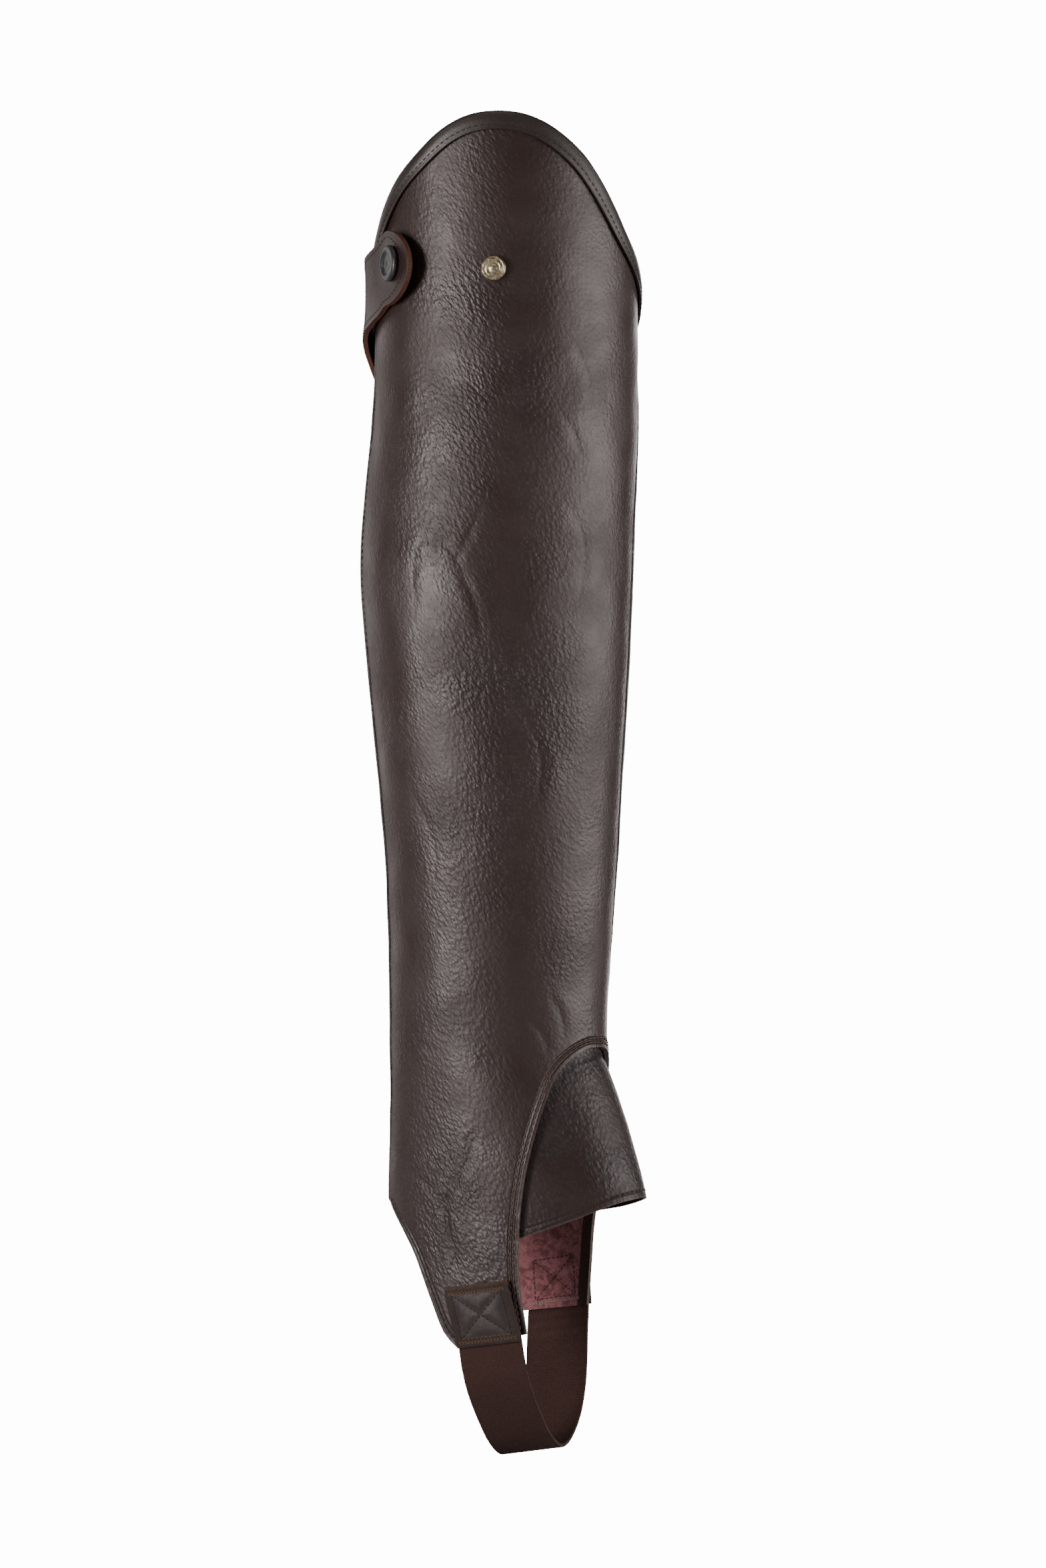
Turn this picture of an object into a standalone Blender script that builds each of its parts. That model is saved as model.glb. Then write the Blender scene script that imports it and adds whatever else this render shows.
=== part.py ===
"""Half chap: a tall leather gaiter for the lower leg, worn over a short riding boot.

World axes: +Z up the leg, +X towards the toes, -Y the leg's outer side. The origin is on the
leg's axis at the calf's widest height. Sizes in this file are millimetres, and become metres
when a point is written to a mesh. A place on the leg is an angle round it (0 at the back,
90 on the outer side, 180 at the front, 270 on the inner side) and a height.
"""
import bpy
import bmesh
from math import atan2, cos, degrees, pi, radians, sin, sqrt
from mathutils import Matrix, Vector

MM = 0.001

# Walls and the gaps that keep touching pieces apart
LEATHER_WALL = 2.0
INSTEP_WALL = 1.6
BINDING_WALL = 1.2
TAB_WALL = 2.4
PATCH_WALL = 1.2
STRAP_WALL = 1.5
TAPE_WALL = 1.0
SEAM_GAP = 0.3
CURVED_GAP = 0.6           # between curved walls whose facets do not line up

# The leg's form: one row for each section, from the top down
# (height, back x, front x, half width, egg shape: more than 0 is fuller at the back)
SECTIONS = [
    (190, -51.8, 61.6, 53.0, 0.03),
    (71, -52.4, 61.1, 53.5, 0.05),
    (0, -58.2, 59.5, 54.0, 0.08),
    (-43, -55.0, 57.8, 52.0, 0.08),
    (-128, -47.9, 52.5, 44.0, 0.05),
    (-202, -46.8, 48.9, 38.5, 0.02),
    (-228, -47.1, 54.8, 37.0, 0.0),
    (-271, -49.3, 67.0, 35.5, 0.0),
    (-340, -50.0, 74.0, 33.3, 0.0),
]

# The top edge of the binding: (angle, height). It peaks over the outer calf.
TOP_EDGE = [
    (0, 121), (14, 122.5), (25, 129), (38, 140.0), (48, 151.0), (58, 161.0), (71, 171.1), (85, 181.0),
    (97, 186.0), (110, 187.3), (122, 185.7), (134, 180.5), (148, 170.4), (158, 159.9), (167, 149.3),
    (176, 139.5), (190, 129.0), (205, 119), (230, 103), (260, 90), (290, 86), (320, 97), (345, 112.6),
    (360, 121),
]
BINDING_DEPTH = 8.0
BINDING_GAP = 0.4          # between each leg of the binding and the panel
PANEL_TOP_GAP = 1.0        # between the panel's top edge and the fold of the binding

# The arch over the instep, (angle, height) from its top down to each flap's front corner
APEX_ANGLE = 174.0
OUTER_ARCH = [
    (174, -203.9), (165, -204.0), (153.4, -206.9), (142.9, -212.3), (135.1, -219.2), (124.8, -233.3),
    (114.5, -251.4), (108.4, -268.4), (105.3, -287.0), (104.8, -304.5), (106.6, -323.1),
]
INNER_ARCH = [
    (174, -203.9), (184.5, -204.3), (197, -207.2), (209, -212.8), (218, -219.6), (229, -233.0),
    (238.5, -251.0), (244.5, -268.0), (248.8, -283.0), (251.3, -300.0), (253.4, -317.1),
]
# The heel edge, from the foot of the zip to each flap's back corner
OUTER_HEEL = [
    (27.3, -271.6), (39.7, -278.8), (48.9, -286.7), (55.1, -294.8), (63.3, -311.2), (69.5, -324.0),
    (75.8, -330.1),
]
INNER_HEEL = [
    (332.7, -271.6), (320.3, -278.0), (311.1, -285.2), (304.9, -292.5), (296.7, -307.0), (290.5, -316.5),
    (284.2, -321.3),
]
ZIP_FOOT_HEIGHT = -268.0
WING_DROP = 72.0           # how far the line above the arch rises towards the back

# The zip down the back
ZIP_OPENING = 9.0
TAPE_WIDTH = 32.0
CHAIN_WIDTH = 5.6
CHAIN_WALL = 1.5
ZIP_TOP_HEIGHT = 112.0
ZIP_BOTTOM_HEIGHT = -265.0
SLIDER_SIZE = (1.0, 7.8, 11.0)
SLIDER_HEIGHT = 101.0
PULL_SIZE = (0.8, 6.5, 22.0)
PULL_HEIGHT = 92.0

# The instep panel under the arch
INSTEP_OVERLAP = 10.0
INSTEP_REACH = 0.74        # how far down the arch it is sewn in
INSTEP_RIDGE = 4.2         # how far it rides forward over the foot, below the arch
INSTEP_RIDGE_ANGLE = 182.0
INSTEP_RIDGE_SPREAD = 58.0
INSTEP_RIDGE_START = 3.0   # this far below the arch's edge
INSTEP_RIDGE_RISE = 28.0
INSTEP_HEM = [
    (97.5, -286.2), (105, -283.5), (118.5, -279.3), (131.7, -275.3), (147.1, -270.9), (162.3, -268.1),
    (184.6, -267.3), (205, -269.5), (228, -273.5), (246, -276.5), (256.5, -279.0),
]

# The closing tab: (distance round from the back's centre, lower edge, upper edge,
# stand-off from the leg at the lower edge, the middle and the upper edge)
TAB = [
    (-28, 58, 88, 0.4, 0.4, 0.4),
    (-16, 66.5, 97, 0.4, 0.4, 0.4),
    (-8, 72.5, 104, 1.0, 1.2, 1.4),
    (0, 79, 113, 2.6, 2.2, 2.2),
    (9.5, 88, 122, 3.0, 2.0, 2.1),
    (19, 94, 127.5, 3.0, 2.1, 2.2),
    (28.5, 98.8, 130.8, 2.8, 1.8, 2.5),
    (37, 102, 132.4, 1.4, 1.4, 2.1),
    (46, 105, 135.2, 0.8, 1.0, 1.5),
    (54, 108.4, 139.6, 1.7, 1.7, 1.9),
    (64, 108.4, 139.6, 4.1, 4.1, 4.1),
    (74, 108.4, 139.6, 7.6, 7.6, 7.6),
]
TAB_START = -28.0
TAB_END_CENTRE = (54.0, 124.0)
TAB_END_RADII = (17.6, 15.6)
SNAP_PLACE = (59.5, 125.5)

# Fastenings and trim
STUD_PLACE = (107.9, 121.5)
STUD_RADIUS = 5.25
SNAP_RADIUS = 7.6
SOCKET_RADIUS = 4.5
SOCKET_ROOM = 1.2          # for the tab's slant across the socket

# The strap under the boot
STRAP_WIDTH = 29.0
STRAP_TILT = 5.0           # its front edge lies this much higher
# Its outer face, (middle x, y, height), down from the outer flap and up to the inner one
STRAP_LOOP = [
    (14.0, -35.2, -335.0), (14.7, -32.4, -343.4), (14.9, -26.6, -352.2), (14.8, -18.8, -361.0),
    (14.2, -9.6, -369.3), (13.4, 0.5, -375.5), (12.9, 9.5, -378.1), (12.6, 19.0, -375.0),
    (12.6, 27.6, -366.6), (12.6, 32.7, -355.5), (12.6, 34.9, -344.0), (12.8, 35.6, -331.0),
]
PATCH_CENTRE = 13.4
PATCH_LEAN = 0.265         # how far the patch's centre line runs forward for each mm down
PATCH_TOP = -302.5
PATCH_BOTTOM = -328.0
PATCH_WIDTH = 30.0
PATCH_TILT = 4.6
INNER_PATCH_LIFT = 8.6     # the inner flap, and so its patch, ends higher

# How finely the sheets are divided
HALF_COLUMNS = 19
BODY_ROWS = 20
WING_ROWS = 16


def smooth_table(rows, x):
    """Reads a table of rows (x, values...) at x along a smooth curve through the rows."""
    rows = sorted(rows)
    x = min(max(x, rows[0][0]), rows[-1][0])
    i = 0
    while i < len(rows) - 2 and x > rows[i + 1][0]:
        i += 1

    def slope(k, j):
        a, b = max(k - 1, 0), min(k + 1, len(rows) - 1)
        return (rows[b][j] - rows[a][j]) / (rows[b][0] - rows[a][0])

    span = rows[i + 1][0] - rows[i][0]
    t = (x - rows[i][0]) / span
    values = []
    for j in range(1, len(rows[0])):
        start, end = rows[i][j], rows[i + 1][j]
        leave, arrive = slope(i, j) * span, slope(i + 1, j) * span
        values.append((2 * t**3 - 3 * t**2 + 1) * start + (t**3 - 2 * t**2 + t) * leave
                      + (3 * t**2 - 2 * t**3) * end + (t**3 - t**2) * arrive)
    return values


def along(points, t, steps=12):
    """The point at the share t of the way along a smooth curve through a few flat points."""
    rows = [(k,) + tuple(p) for k, p in enumerate(points)]
    count = (len(points) - 1) * steps
    fine = [Vector(smooth_table(rows, k / steps)) for k in range(count + 1)]
    lengths = [0.0]
    for a, b in zip(fine, fine[1:]):
        lengths.append(lengths[-1] + (b - a).length)
    goal = min(max(t, 0.0), 1.0) * lengths[-1]
    for k in range(count):
        if lengths[k + 1] >= goal:
            share = (goal - lengths[k]) / (lengths[k + 1] - lengths[k])
            return fine[k].lerp(fine[k + 1], share)
    return fine[-1]


def on_leg(angle, height):
    """The point of the leg's outer surface at an angle and a height, in millimetres."""
    back, front, half_width, egg = smooth_table(SECTIONS, height)
    f = radians(angle)
    x = (back + front) / 2 - (front - back) / 2 * cos(f)
    y = -half_width * sin(f) * (1 + egg * cos(f))
    return Vector((x, y, height))


def leg_normal(angle, height):
    round_it = on_leg(angle + 0.5, height) - on_leg(angle - 0.5, height)
    up_it = on_leg(angle, height + 0.5) - on_leg(angle, height - 0.5)
    return round_it.cross(up_it).normalized()


def off_leg(angle, height, out):
    """A point that stands off the leg's surface by out, or lies inside it when out is negative."""
    return on_leg(angle, height) + leg_normal(angle, height) * out


def mm_per_degree(angle, height):
    return (on_leg(angle + 0.5, height) - on_leg(angle - 0.5, height)).length


def angle_at(distance, height):
    """The angle that lies a distance round from the back's centre."""
    angle, steps = 0.0, 24
    for _ in range(steps):
        angle += distance / steps / mm_per_degree(angle, height)
    return angle


def zip_edge(height):
    """The angle of the leather's edge beside the zip."""
    return angle_at(ZIP_OPENING / 2, height)


def top_edge(angle):
    return smooth_table(TOP_EDGE, angle)[0]


def below_top(angle, depth, square=1.0):
    """A place a depth inside the top edge: straight below it, or square to it when square is 1."""
    height = top_edge(angle)
    scale = mm_per_degree(angle, height)
    slope = atan2(top_edge(angle + 0.5) - top_edge(angle - 0.5), scale)
    drop = depth * (1 - square * sin(slope) ** 2) / cos(slope)
    return Vector((angle + square * depth * sin(slope) / scale, height - drop))


def across(u, height):
    """The angle at a share u of the way round: 0 at the zip, 0.5 at the arch's top, 1 at the zip."""
    edge = zip_edge(height)
    if u <= 0.5:
        return edge + (APEX_ANGLE - edge) * 2 * u
    return APEX_ANGLE + (360 - edge - APEX_ANGLE) * (2 * u - 1)


def wing_top(u):
    """The line that the wings hang from: it rises from the arch's top to the zip on both sides."""
    height = OUTER_ARCH[0][1] + WING_DROP * abs(1 - 2 * u)
    return Vector((across(u, height), height))


def wing_side(t, heel):
    """A wing's back side: down the zip, across the foot of the zip, and down the heel."""
    turn, leave = 0.52, 0.64
    back = 0.0 if heel[0][0] < APEX_ANGLE else 1.0
    start = wing_top(back).y
    height = start + (ZIP_FOOT_HEIGHT - start) * min(t / turn, 1.0)
    side = Vector((across(back, height), height))
    if t <= turn:
        return side
    if t <= leave:
        return side.lerp(Vector(heel[0]), (t - turn) / (leave - turn))
    return along(heel, (t - leave) / (1 - leave))


def wing_place(u, t, heel, arch):
    """A place (angle, height) on a wing, blended from its four sides: u from heel to arch, t down."""
    back = 0.0 if heel[0][0] < APEX_ANGLE else 1.0
    top = wing_top(back + (0.5 - back) * u)
    foot = Vector(heel[-1]).lerp(Vector(arch[-1]), u)
    corners = wing_top(back).lerp(wing_top(0.5), u).lerp(foot, t)
    return wing_side(t, heel).lerp(along(arch, t), u) + top.lerp(foot, t) - corners


def body_place(u, t):
    """A place (angle, height) on the panel above the wings: u round the leg, t down it."""
    high = below_top(across(u, top_edge(0)), BINDING_WALL + PANEL_TOP_GAP, 0.0)
    return high.lerp(wing_top(u), t)


def make_material(name, colour, roughness, metallic=0.0):
    material = bpy.data.materials.new(name)
    material.use_nodes = True
    shader = material.node_tree.nodes["Principled BSDF"]
    shader.inputs["Base Color"].default_value = (*colour, 1.0)
    shader.inputs["Roughness"].default_value = roughness
    shader.inputs["Metallic"].default_value = metallic
    return material


def add_object(name, mesh, material, smooth_angle=40):
    mesh.materials.append(material)
    mesh.shade_smooth()
    mesh.set_sharp_from_angle(angle=radians(smooth_angle))
    obj = bpy.data.objects.new(name, mesh)
    bpy.data.collections["half_chap"].objects.link(obj)
    return obj


def add_grid(bm, columns, rows, place):
    """Adds a grid whose vertex at the shares (u, v) is moved to place(u, v), in millimetres."""
    made = bmesh.ops.create_grid(bm, x_segments=columns, y_segments=rows, size=0.5)
    for vertex in made["verts"]:
        vertex.co = place(vertex.co.x + 0.5, vertex.co.y + 0.5) * MM


def add_sheet(name, grids, wall, material, offset=-1.0):
    """A wall of one thickness, from grids that share their joining vertices.

    Each grid is (columns, rows, place) with u running round the leg and v running up it, so
    that its faces point outwards. The wall grows inwards from it.
    """
    bm = bmesh.new()
    for columns, rows, place in grids:
        add_grid(bm, columns, rows, place)
    bmesh.ops.remove_doubles(bm, verts=bm.verts, dist=0.00002)
    mesh = bpy.data.meshes.new(name)
    bm.to_mesh(mesh)
    bm.free()
    obj = add_object(name, mesh, material)
    solidify = obj.modifiers.new("wall", "SOLIDIFY")
    solidify.thickness = wall * MM
    solidify.offset = offset
    solidify.use_even_offset = True
    return obj


def add_turned(name, profile, material, centre, direction):
    """A turned piece: a profile (radius, height) from the top's centre down its outer side."""
    mesh = bpy.data.meshes.new(name)
    points = [(r * MM, 0.0, h * MM) for r, h in profile]
    mesh.from_pydata(points, [(k, k + 1) for k in range(len(points) - 1)], [])
    obj = add_object(name, mesh, material)
    screw = obj.modifiers.new("turn", "SCREW")
    screw.axis = "Z"
    screw.steps = 28
    screw.render_steps = 28
    screw.use_merge_vertices = True
    screw.merge_threshold = 0.00001
    screw.use_smooth_shade = True
    weld = obj.modifiers.new("weld", "WELD")
    weld.merge_threshold = 0.00001
    obj.location = centre * MM
    obj.rotation_mode = "QUATERNION"
    obj.rotation_quaternion = direction.to_track_quat("Z", "X")
    return obj


def add_plate(name, size, centre, out, material, round_by):
    """A small plate with rounded edges that lies against the back of the leg."""
    bm = bmesh.new()
    bmesh.ops.create_cube(bm, size=1.0)
    bmesh.ops.scale(bm, vec=Vector(size) * MM, verts=bm.verts)
    mesh = bpy.data.meshes.new(name)
    bm.to_mesh(mesh)
    bm.free()
    obj = add_object(name, mesh, material)
    lean = leg_normal(0.0, centre)
    obj.location = off_leg(0.0, centre, out + size[0] / 2) * MM
    obj.rotation_euler = (0.0, atan2(lean.z, -lean.x), 0.0)
    bevel = obj.modifiers.new("round", "BEVEL")
    bevel.width = round_by * MM
    bevel.segments = 2
    return obj


def build_leg_panel(material):
    """The main leather panel in one piece, open down the back for the zip."""
    def body(u, v):
        place = body_place(u, 1 - v)
        return on_leg(place.x, place.y)

    def outer_wing(u, v):
        place = wing_place(u, 1 - v, OUTER_HEEL, OUTER_ARCH)
        return on_leg(place.x, place.y)

    def inner_wing(u, v):
        place = wing_place(1 - u, 1 - v, INNER_HEEL, INNER_ARCH)
        return on_leg(place.x, place.y)

    grids = [
        (2 * HALF_COLUMNS, BODY_ROWS, body),
        (HALF_COLUMNS, WING_ROWS, outer_wing),
        (HALF_COLUMNS, WING_ROWS, inner_wing),
    ]
    return add_sheet("leg_panel", grids, LEATHER_WALL, material)


def build_top_binding(material):
    """The strip folded over the top edge, with a leg down each side of the panel."""
    outer = BINDING_GAP + BINDING_WALL
    inner = -LEATHER_WALL - BINDING_GAP - BINDING_WALL
    middle, half = (outer + inner) / 2, (outer - inner) / 2
    # (depth below the top edge, stand-off), from the outer leg's foot over to the inner leg's
    profile = [(BINDING_DEPTH, outer), (BINDING_DEPTH / 2, outer), (1.9, outer)]
    for k in range(1, 6):
        turn = pi * k / 6
        profile.append((1.9 - 1.9 * sin(turn), middle + half * cos(turn)))
    profile += [(1.9, inner), (BINDING_DEPTH / 2, inner), (BINDING_DEPTH, inner)]

    def place(u, v):
        angle = across(u, top_edge(0))
        depth, out = profile[round(v * (len(profile) - 1))]
        spot = below_top(angle, depth, min(min(angle, 360 - angle) / 25, 1.0))
        return off_leg(spot.x, spot.y, out)

    return add_sheet("top_binding", [(2 * HALF_COLUMNS, len(profile) - 1, place)], BINDING_WALL, material)


def instep_top(t):
    """The instep panel's hidden upper edge, a stitching margin outside the arch."""
    arch = OUTER_ARCH if t <= 0.5 else INNER_ARCH
    share = abs(1 - 2 * t) * INSTEP_REACH
    here, further = along(arch, share), along(arch, share + 0.02)
    run = (further - here).normalized()
    margin = Vector((run.y, -run.x)) if t <= 0.5 else Vector((-run.y, run.x))
    return here + margin * INSTEP_OVERLAP


def instep_spot(u, v):
    """(angle, height, stand-off) on the instep panel: u round it, v up it."""
    hem, top = along(INSTEP_HEM, u), instep_top(u)
    spot = hem.lerp(top, v)
    free = (top - hem).length * (1 - v) - INSTEP_OVERLAP - INSTEP_RIDGE_START
    turn = min(abs(spot.x - INSTEP_RIDGE_ANGLE) / INSTEP_RIDGE_SPREAD, 1.0)
    rise = sqrt(min(max(free / INSTEP_RIDGE_RISE, 0.0), 1.0))
    ridge = INSTEP_RIDGE * cos(turn * pi / 2) ** 2 * rise
    return spot.x, spot.y, ridge - LEATHER_WALL - CURVED_GAP


def build_instep_panel(material):
    """The panel over the instep, sewn inside the arch and free along its lower edge."""
    def place(u, v):
        return off_leg(*instep_spot(u, v))

    return add_sheet("instep_panel", [(32, 16, place)], INSTEP_WALL, material)


def tab_place(u, v):
    """(distance round, height, stand-off) on the tab: u from its sewn end to its round end."""
    straight = 0.72
    centre, radii = Vector(TAB_END_CENTRE), Vector(TAB_END_RADII)
    if u <= straight:
        distance = TAB_START + (centre.x - TAB_START) * u / straight
        low, high = smooth_table(TAB, distance)[:2]
        height = low + (high - low) * v
    else:
        # a square grid eased into half an oval
        a, b = (u - straight) / (1 - straight), 2 * v - 1
        distance = centre.x + radii.x * a * sqrt(1 - b * b / 2)
        height = centre.y + radii.y * b * sqrt(1 - a * a / 2)
        low, high = centre.y - radii.y, centre.y + radii.y
    w = (height - low) / (high - low)
    lower, middle, upper = smooth_table(TAB, distance)[2:]
    out = lower * (1 - w) * (1 - 2 * w) + middle * 4 * w * (1 - w) + upper * w * (2 * w - 1)
    return distance, height, out


def build_closing_tab(material):
    """The tab that crosses the zip from the inner side and snaps on the outer side."""
    def place(u, v):
        distance, height, out = tab_place(u, v)
        return off_leg(angle_at(distance, height), height, out + TAB_WALL)

    return add_sheet("closing_tab", [(22, 8, place)], TAB_WALL, material)


def build_snap(black, steel):
    """The snap's cap on the tab, and the socket that stands between the tab and the panel."""
    distance, height = SNAP_PLACE
    angle = angle_at(distance, height)
    stand_off = smooth_table(TAB, distance)[3]
    before, after = [off_leg(angle + step, height, smooth_table(TAB, distance + step)[3]) for step in (-1, 1)]
    across_tab = (after - before).normalized()
    normal = across_tab.cross(Vector((0, 0, 1))).normalized()
    cap = [
        (0, 1.4), (4.6, 1.4), (5.4, 1.9), (6.4, 1.9), (7.2, 1.5), (SNAP_RADIUS, 0.9), (SNAP_RADIUS, 0), (0, 0),
    ]
    foot = off_leg(angle, height, stand_off) + normal * (TAB_WALL + SEAM_GAP)
    add_turned("snap_cap", cap, black, foot, normal)
    thick = stand_off - 2 * SEAM_GAP - SOCKET_ROOM
    socket = [(0, thick), (SOCKET_RADIUS - 0.4, thick), (SOCKET_RADIUS, thick - 0.4), (SOCKET_RADIUS, 0), (0, 0)]
    add_turned("snap_socket", socket, steel, off_leg(angle, height, SEAM_GAP), leg_normal(angle, height))


def build_front_stud(material):
    """The domed metal stud on the outer calf, with plain raised rings."""
    profile = [
        (0, 2.3), (1.6, 2.2), (2.2, 1.8), (2.7, 1.8), (3.2, 2.1), (3.7, 2.0), (4.6, 1.7),
        (STUD_RADIUS, 1.0), (STUD_RADIUS, 0), (0, 0),
    ]
    angle, height = STUD_PLACE
    add_turned("front_stud", profile, material, off_leg(angle, height, SEAM_GAP), leg_normal(angle, height))


def beside_leg(x, height, out, side):
    """A point beside the flap: side is -1 on the outer side and +1 on the inner side."""
    back, front, half_width, egg = smooth_table(SECTIONS, height)
    c = ((back + front) / 2 - x) / ((front - back) / 2)
    depth = half_width * sqrt(max(1 - c * c, 0.0)) * (1 + egg * c)
    return Vector((x, side * (depth + out), height))


def patch_spot(u, v, side, width):
    """(x, height) on the leaning patch: u across it towards the front, v up it."""
    height = PATCH_BOTTOM + (PATCH_TOP - PATCH_BOTTOM) * v
    lean = PATCH_LEAN if side < 0 else PATCH_LEAN / 3
    middle = PATCH_CENTRE - lean * (height - PATCH_BOTTOM)
    lift = INNER_PATCH_LIFT if side > 0 else 0.0
    return middle + (u - 0.5) * width, height + PATCH_TILT * (u - 0.5) + lift


def build_strap_patch(name, side, material):
    """The leather patch that is sewn over the strap's end on a flap."""
    def place(u, v):
        x, height = patch_spot(u if side < 0 else 1 - u, v, side, PATCH_WIDTH)
        low_top = max(0.0, (v - 0.86) / 0.14)
        out = (STRAP_WALL + 2 * SEAM_GAP) * (1 - low_top) + 0.5 * low_top
        return beside_leg(x, height, out + PATCH_WALL, side)

    return add_sheet(name, [(8, 8, place)], PATCH_WALL, material)


def build_sole_strap(material):
    """The elastic strap: from under the outer patch, below the boot, to under the inner patch."""
    end_rows, loop_rows = 4, 28
    rows = 2 * end_rows + loop_rows

    def loop_point(t, u):
        middle, y, height = along(STRAP_LOOP, t)
        x = middle + (u - 0.5) * STRAP_WIDTH
        side = -1 if t < 0.5 else 1
        hollow = beside_leg(x, height, 0, side).y - beside_leg(middle, height, 0, side).y
        return Vector((x, y + hollow * abs(2 * t - 1) ** 3, height + STRAP_TILT * (u - 0.5)))

    def place(u, v):
        row = round(v * rows)
        if end_rows <= row <= rows - end_rows:
            return loop_point((row - end_rows) / loop_rows, 1 - u)
        side = -1 if row < end_rows else 1
        share = row / end_rows if side < 0 else (rows - row) / end_rows
        x, height = patch_spot(1 - u, (1 - share) * 0.82 + 0.02, side, STRAP_WIDTH)
        return beside_leg(x, height, SEAM_GAP + STRAP_WALL, side)

    return add_sheet("sole_strap", [(6, rows, place)], STRAP_WALL, material)


def build_zip(tape, chain, steel):
    """The closed zip down the back: its tape inside the leather, its chain, slider and pull."""
    inside = -LEATHER_WALL - CURVED_GAP

    def strip(width, out, margin):
        def place(u, v):
            distance = (u - 0.5) * width
            high = below_top(angle_at(distance, ZIP_TOP_HEIGHT) % 360, BINDING_DEPTH, 0.0).y - margin
            height = ZIP_BOTTOM_HEIGHT + margin + (high - ZIP_BOTTOM_HEIGHT - margin) * v
            return off_leg(angle_at(distance, height), height, out)
        return place

    add_sheet("zip_tape", [(8, 30, strip(TAPE_WIDTH, inside, 0.8))], TAPE_WALL, tape)
    chain_out = inside + SEAM_GAP + CHAIN_WALL
    add_sheet("zip_chain", [(2, 30, strip(CHAIN_WIDTH, chain_out, 3.5))], CHAIN_WALL, chain)
    slider_out = chain_out + SEAM_GAP
    add_plate("zip_slider", SLIDER_SIZE, SLIDER_HEIGHT, slider_out, steel, 0.4)
    add_plate("zip_pull", PULL_SIZE, PULL_HEIGHT, slider_out + SLIDER_SIZE[0] + SEAM_GAP, steel, 0.3)


def main():
    for obj in list(bpy.data.objects):
        bpy.data.objects.remove(obj)
    collection = bpy.data.collections.new("half_chap")
    bpy.context.scene.collection.children.link(collection)

    leather = make_material("dark_brown_leather", (0.070, 0.052, 0.046), 0.5)
    binding = make_material("binding_leather", (0.066, 0.052, 0.044), 0.5)
    patch = make_material("patch_leather", (0.060, 0.045, 0.038), 0.6)
    elastic = make_material("brown_elastic", (0.036, 0.020, 0.015), 0.9)
    tape = make_material("zip_tape_cloth", (0.020, 0.014, 0.012), 0.9)
    chain = make_material("zip_chain_plastic", (0.016, 0.012, 0.011), 0.5)
    black = make_material("black_snap", (0.012, 0.012, 0.013), 0.35)
    steel = make_material("dark_steel", (0.12, 0.11, 0.10), 0.4, 1.0)
    brass = make_material("aged_brass", (0.45, 0.36, 0.20), 0.35, 1.0)

    build_leg_panel(leather)
    build_instep_panel(leather)
    build_top_binding(binding)
    build_closing_tab(leather)
    build_snap(black, steel)
    build_front_stud(brass)
    build_strap_patch("outer_strap_patch", -1, patch)
    build_strap_patch("inner_strap_patch", 1, patch)
    build_sole_strap(elastic)
    build_zip(tape, chain, steel)


main()
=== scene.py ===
from math import cos, pi, radians, sin

import bmesh
import bpy
import numpy as np
from mathutils import Matrix, Vector, noise
from mathutils.kdtree import KDTree


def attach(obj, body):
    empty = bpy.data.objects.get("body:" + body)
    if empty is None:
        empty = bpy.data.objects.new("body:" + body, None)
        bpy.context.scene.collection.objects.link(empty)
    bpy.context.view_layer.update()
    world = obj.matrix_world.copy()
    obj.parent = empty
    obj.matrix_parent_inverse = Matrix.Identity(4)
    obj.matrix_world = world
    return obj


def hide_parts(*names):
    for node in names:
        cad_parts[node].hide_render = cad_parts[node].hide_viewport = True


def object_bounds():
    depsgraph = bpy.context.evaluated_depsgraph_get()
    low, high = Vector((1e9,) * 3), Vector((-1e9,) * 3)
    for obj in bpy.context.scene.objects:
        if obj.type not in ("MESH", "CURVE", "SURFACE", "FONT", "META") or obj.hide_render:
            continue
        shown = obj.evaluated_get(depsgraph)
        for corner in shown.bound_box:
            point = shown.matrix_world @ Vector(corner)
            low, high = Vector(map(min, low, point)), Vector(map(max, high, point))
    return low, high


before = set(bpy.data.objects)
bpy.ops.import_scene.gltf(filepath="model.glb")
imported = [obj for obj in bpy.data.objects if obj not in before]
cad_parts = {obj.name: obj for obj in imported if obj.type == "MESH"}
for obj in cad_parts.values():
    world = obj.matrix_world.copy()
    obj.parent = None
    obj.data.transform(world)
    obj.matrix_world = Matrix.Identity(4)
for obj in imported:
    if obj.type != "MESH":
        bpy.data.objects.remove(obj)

cadBox = [list(corner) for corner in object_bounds()]
mm = 0.001  # every size below is in millimetres
print("frame loaded, with", len(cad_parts), "nodes")

# The camera stands level, 25 degrees forward of the outer side, with a long lens
view = {"target": (10.07, 4.70, -92.77), "azimuth": 25, "distance": 2000, "lens": 107.46}

towards = Vector((sin(radians(view["azimuth"])), -cos(radians(view["azimuth"])), 0))
cameraData = bpy.data.cameras.new("photoCamera")
cameraData.lens = view["lens"]
camera = bpy.data.objects.new("photoCamera", cameraData)
camera.location = (Vector(view["target"]) + towards * view["distance"]) * mm
camera.rotation_euler = (-towards).to_track_quat("-Z", "Y").to_euler()
bpy.context.scene.collection.objects.link(camera)
bpy.context.scene.camera = camera
print("camera placed")

# The leg's form from the top down: height, back x, front x, half width, fullness at the back
legForm = [
    (190, -51.8, 61.6, 53.0, 0.03),
    (71, -52.4, 61.1, 53.5, 0.05),
    (0, -58.2, 59.5, 54.0, 0.08),
    (-43, -55.0, 57.8, 52.0, 0.08),
    (-128, -47.9, 52.5, 44.0, 0.05),
    (-202, -46.8, 48.9, 38.5, 0.02),
    (-228, -47.1, 54.8, 37.0, 0.0),
    (-271, -49.3, 67.0, 35.5, 0.0),
    (-340, -50.0, 74.0, 33.3, 0.0),
]


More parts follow.
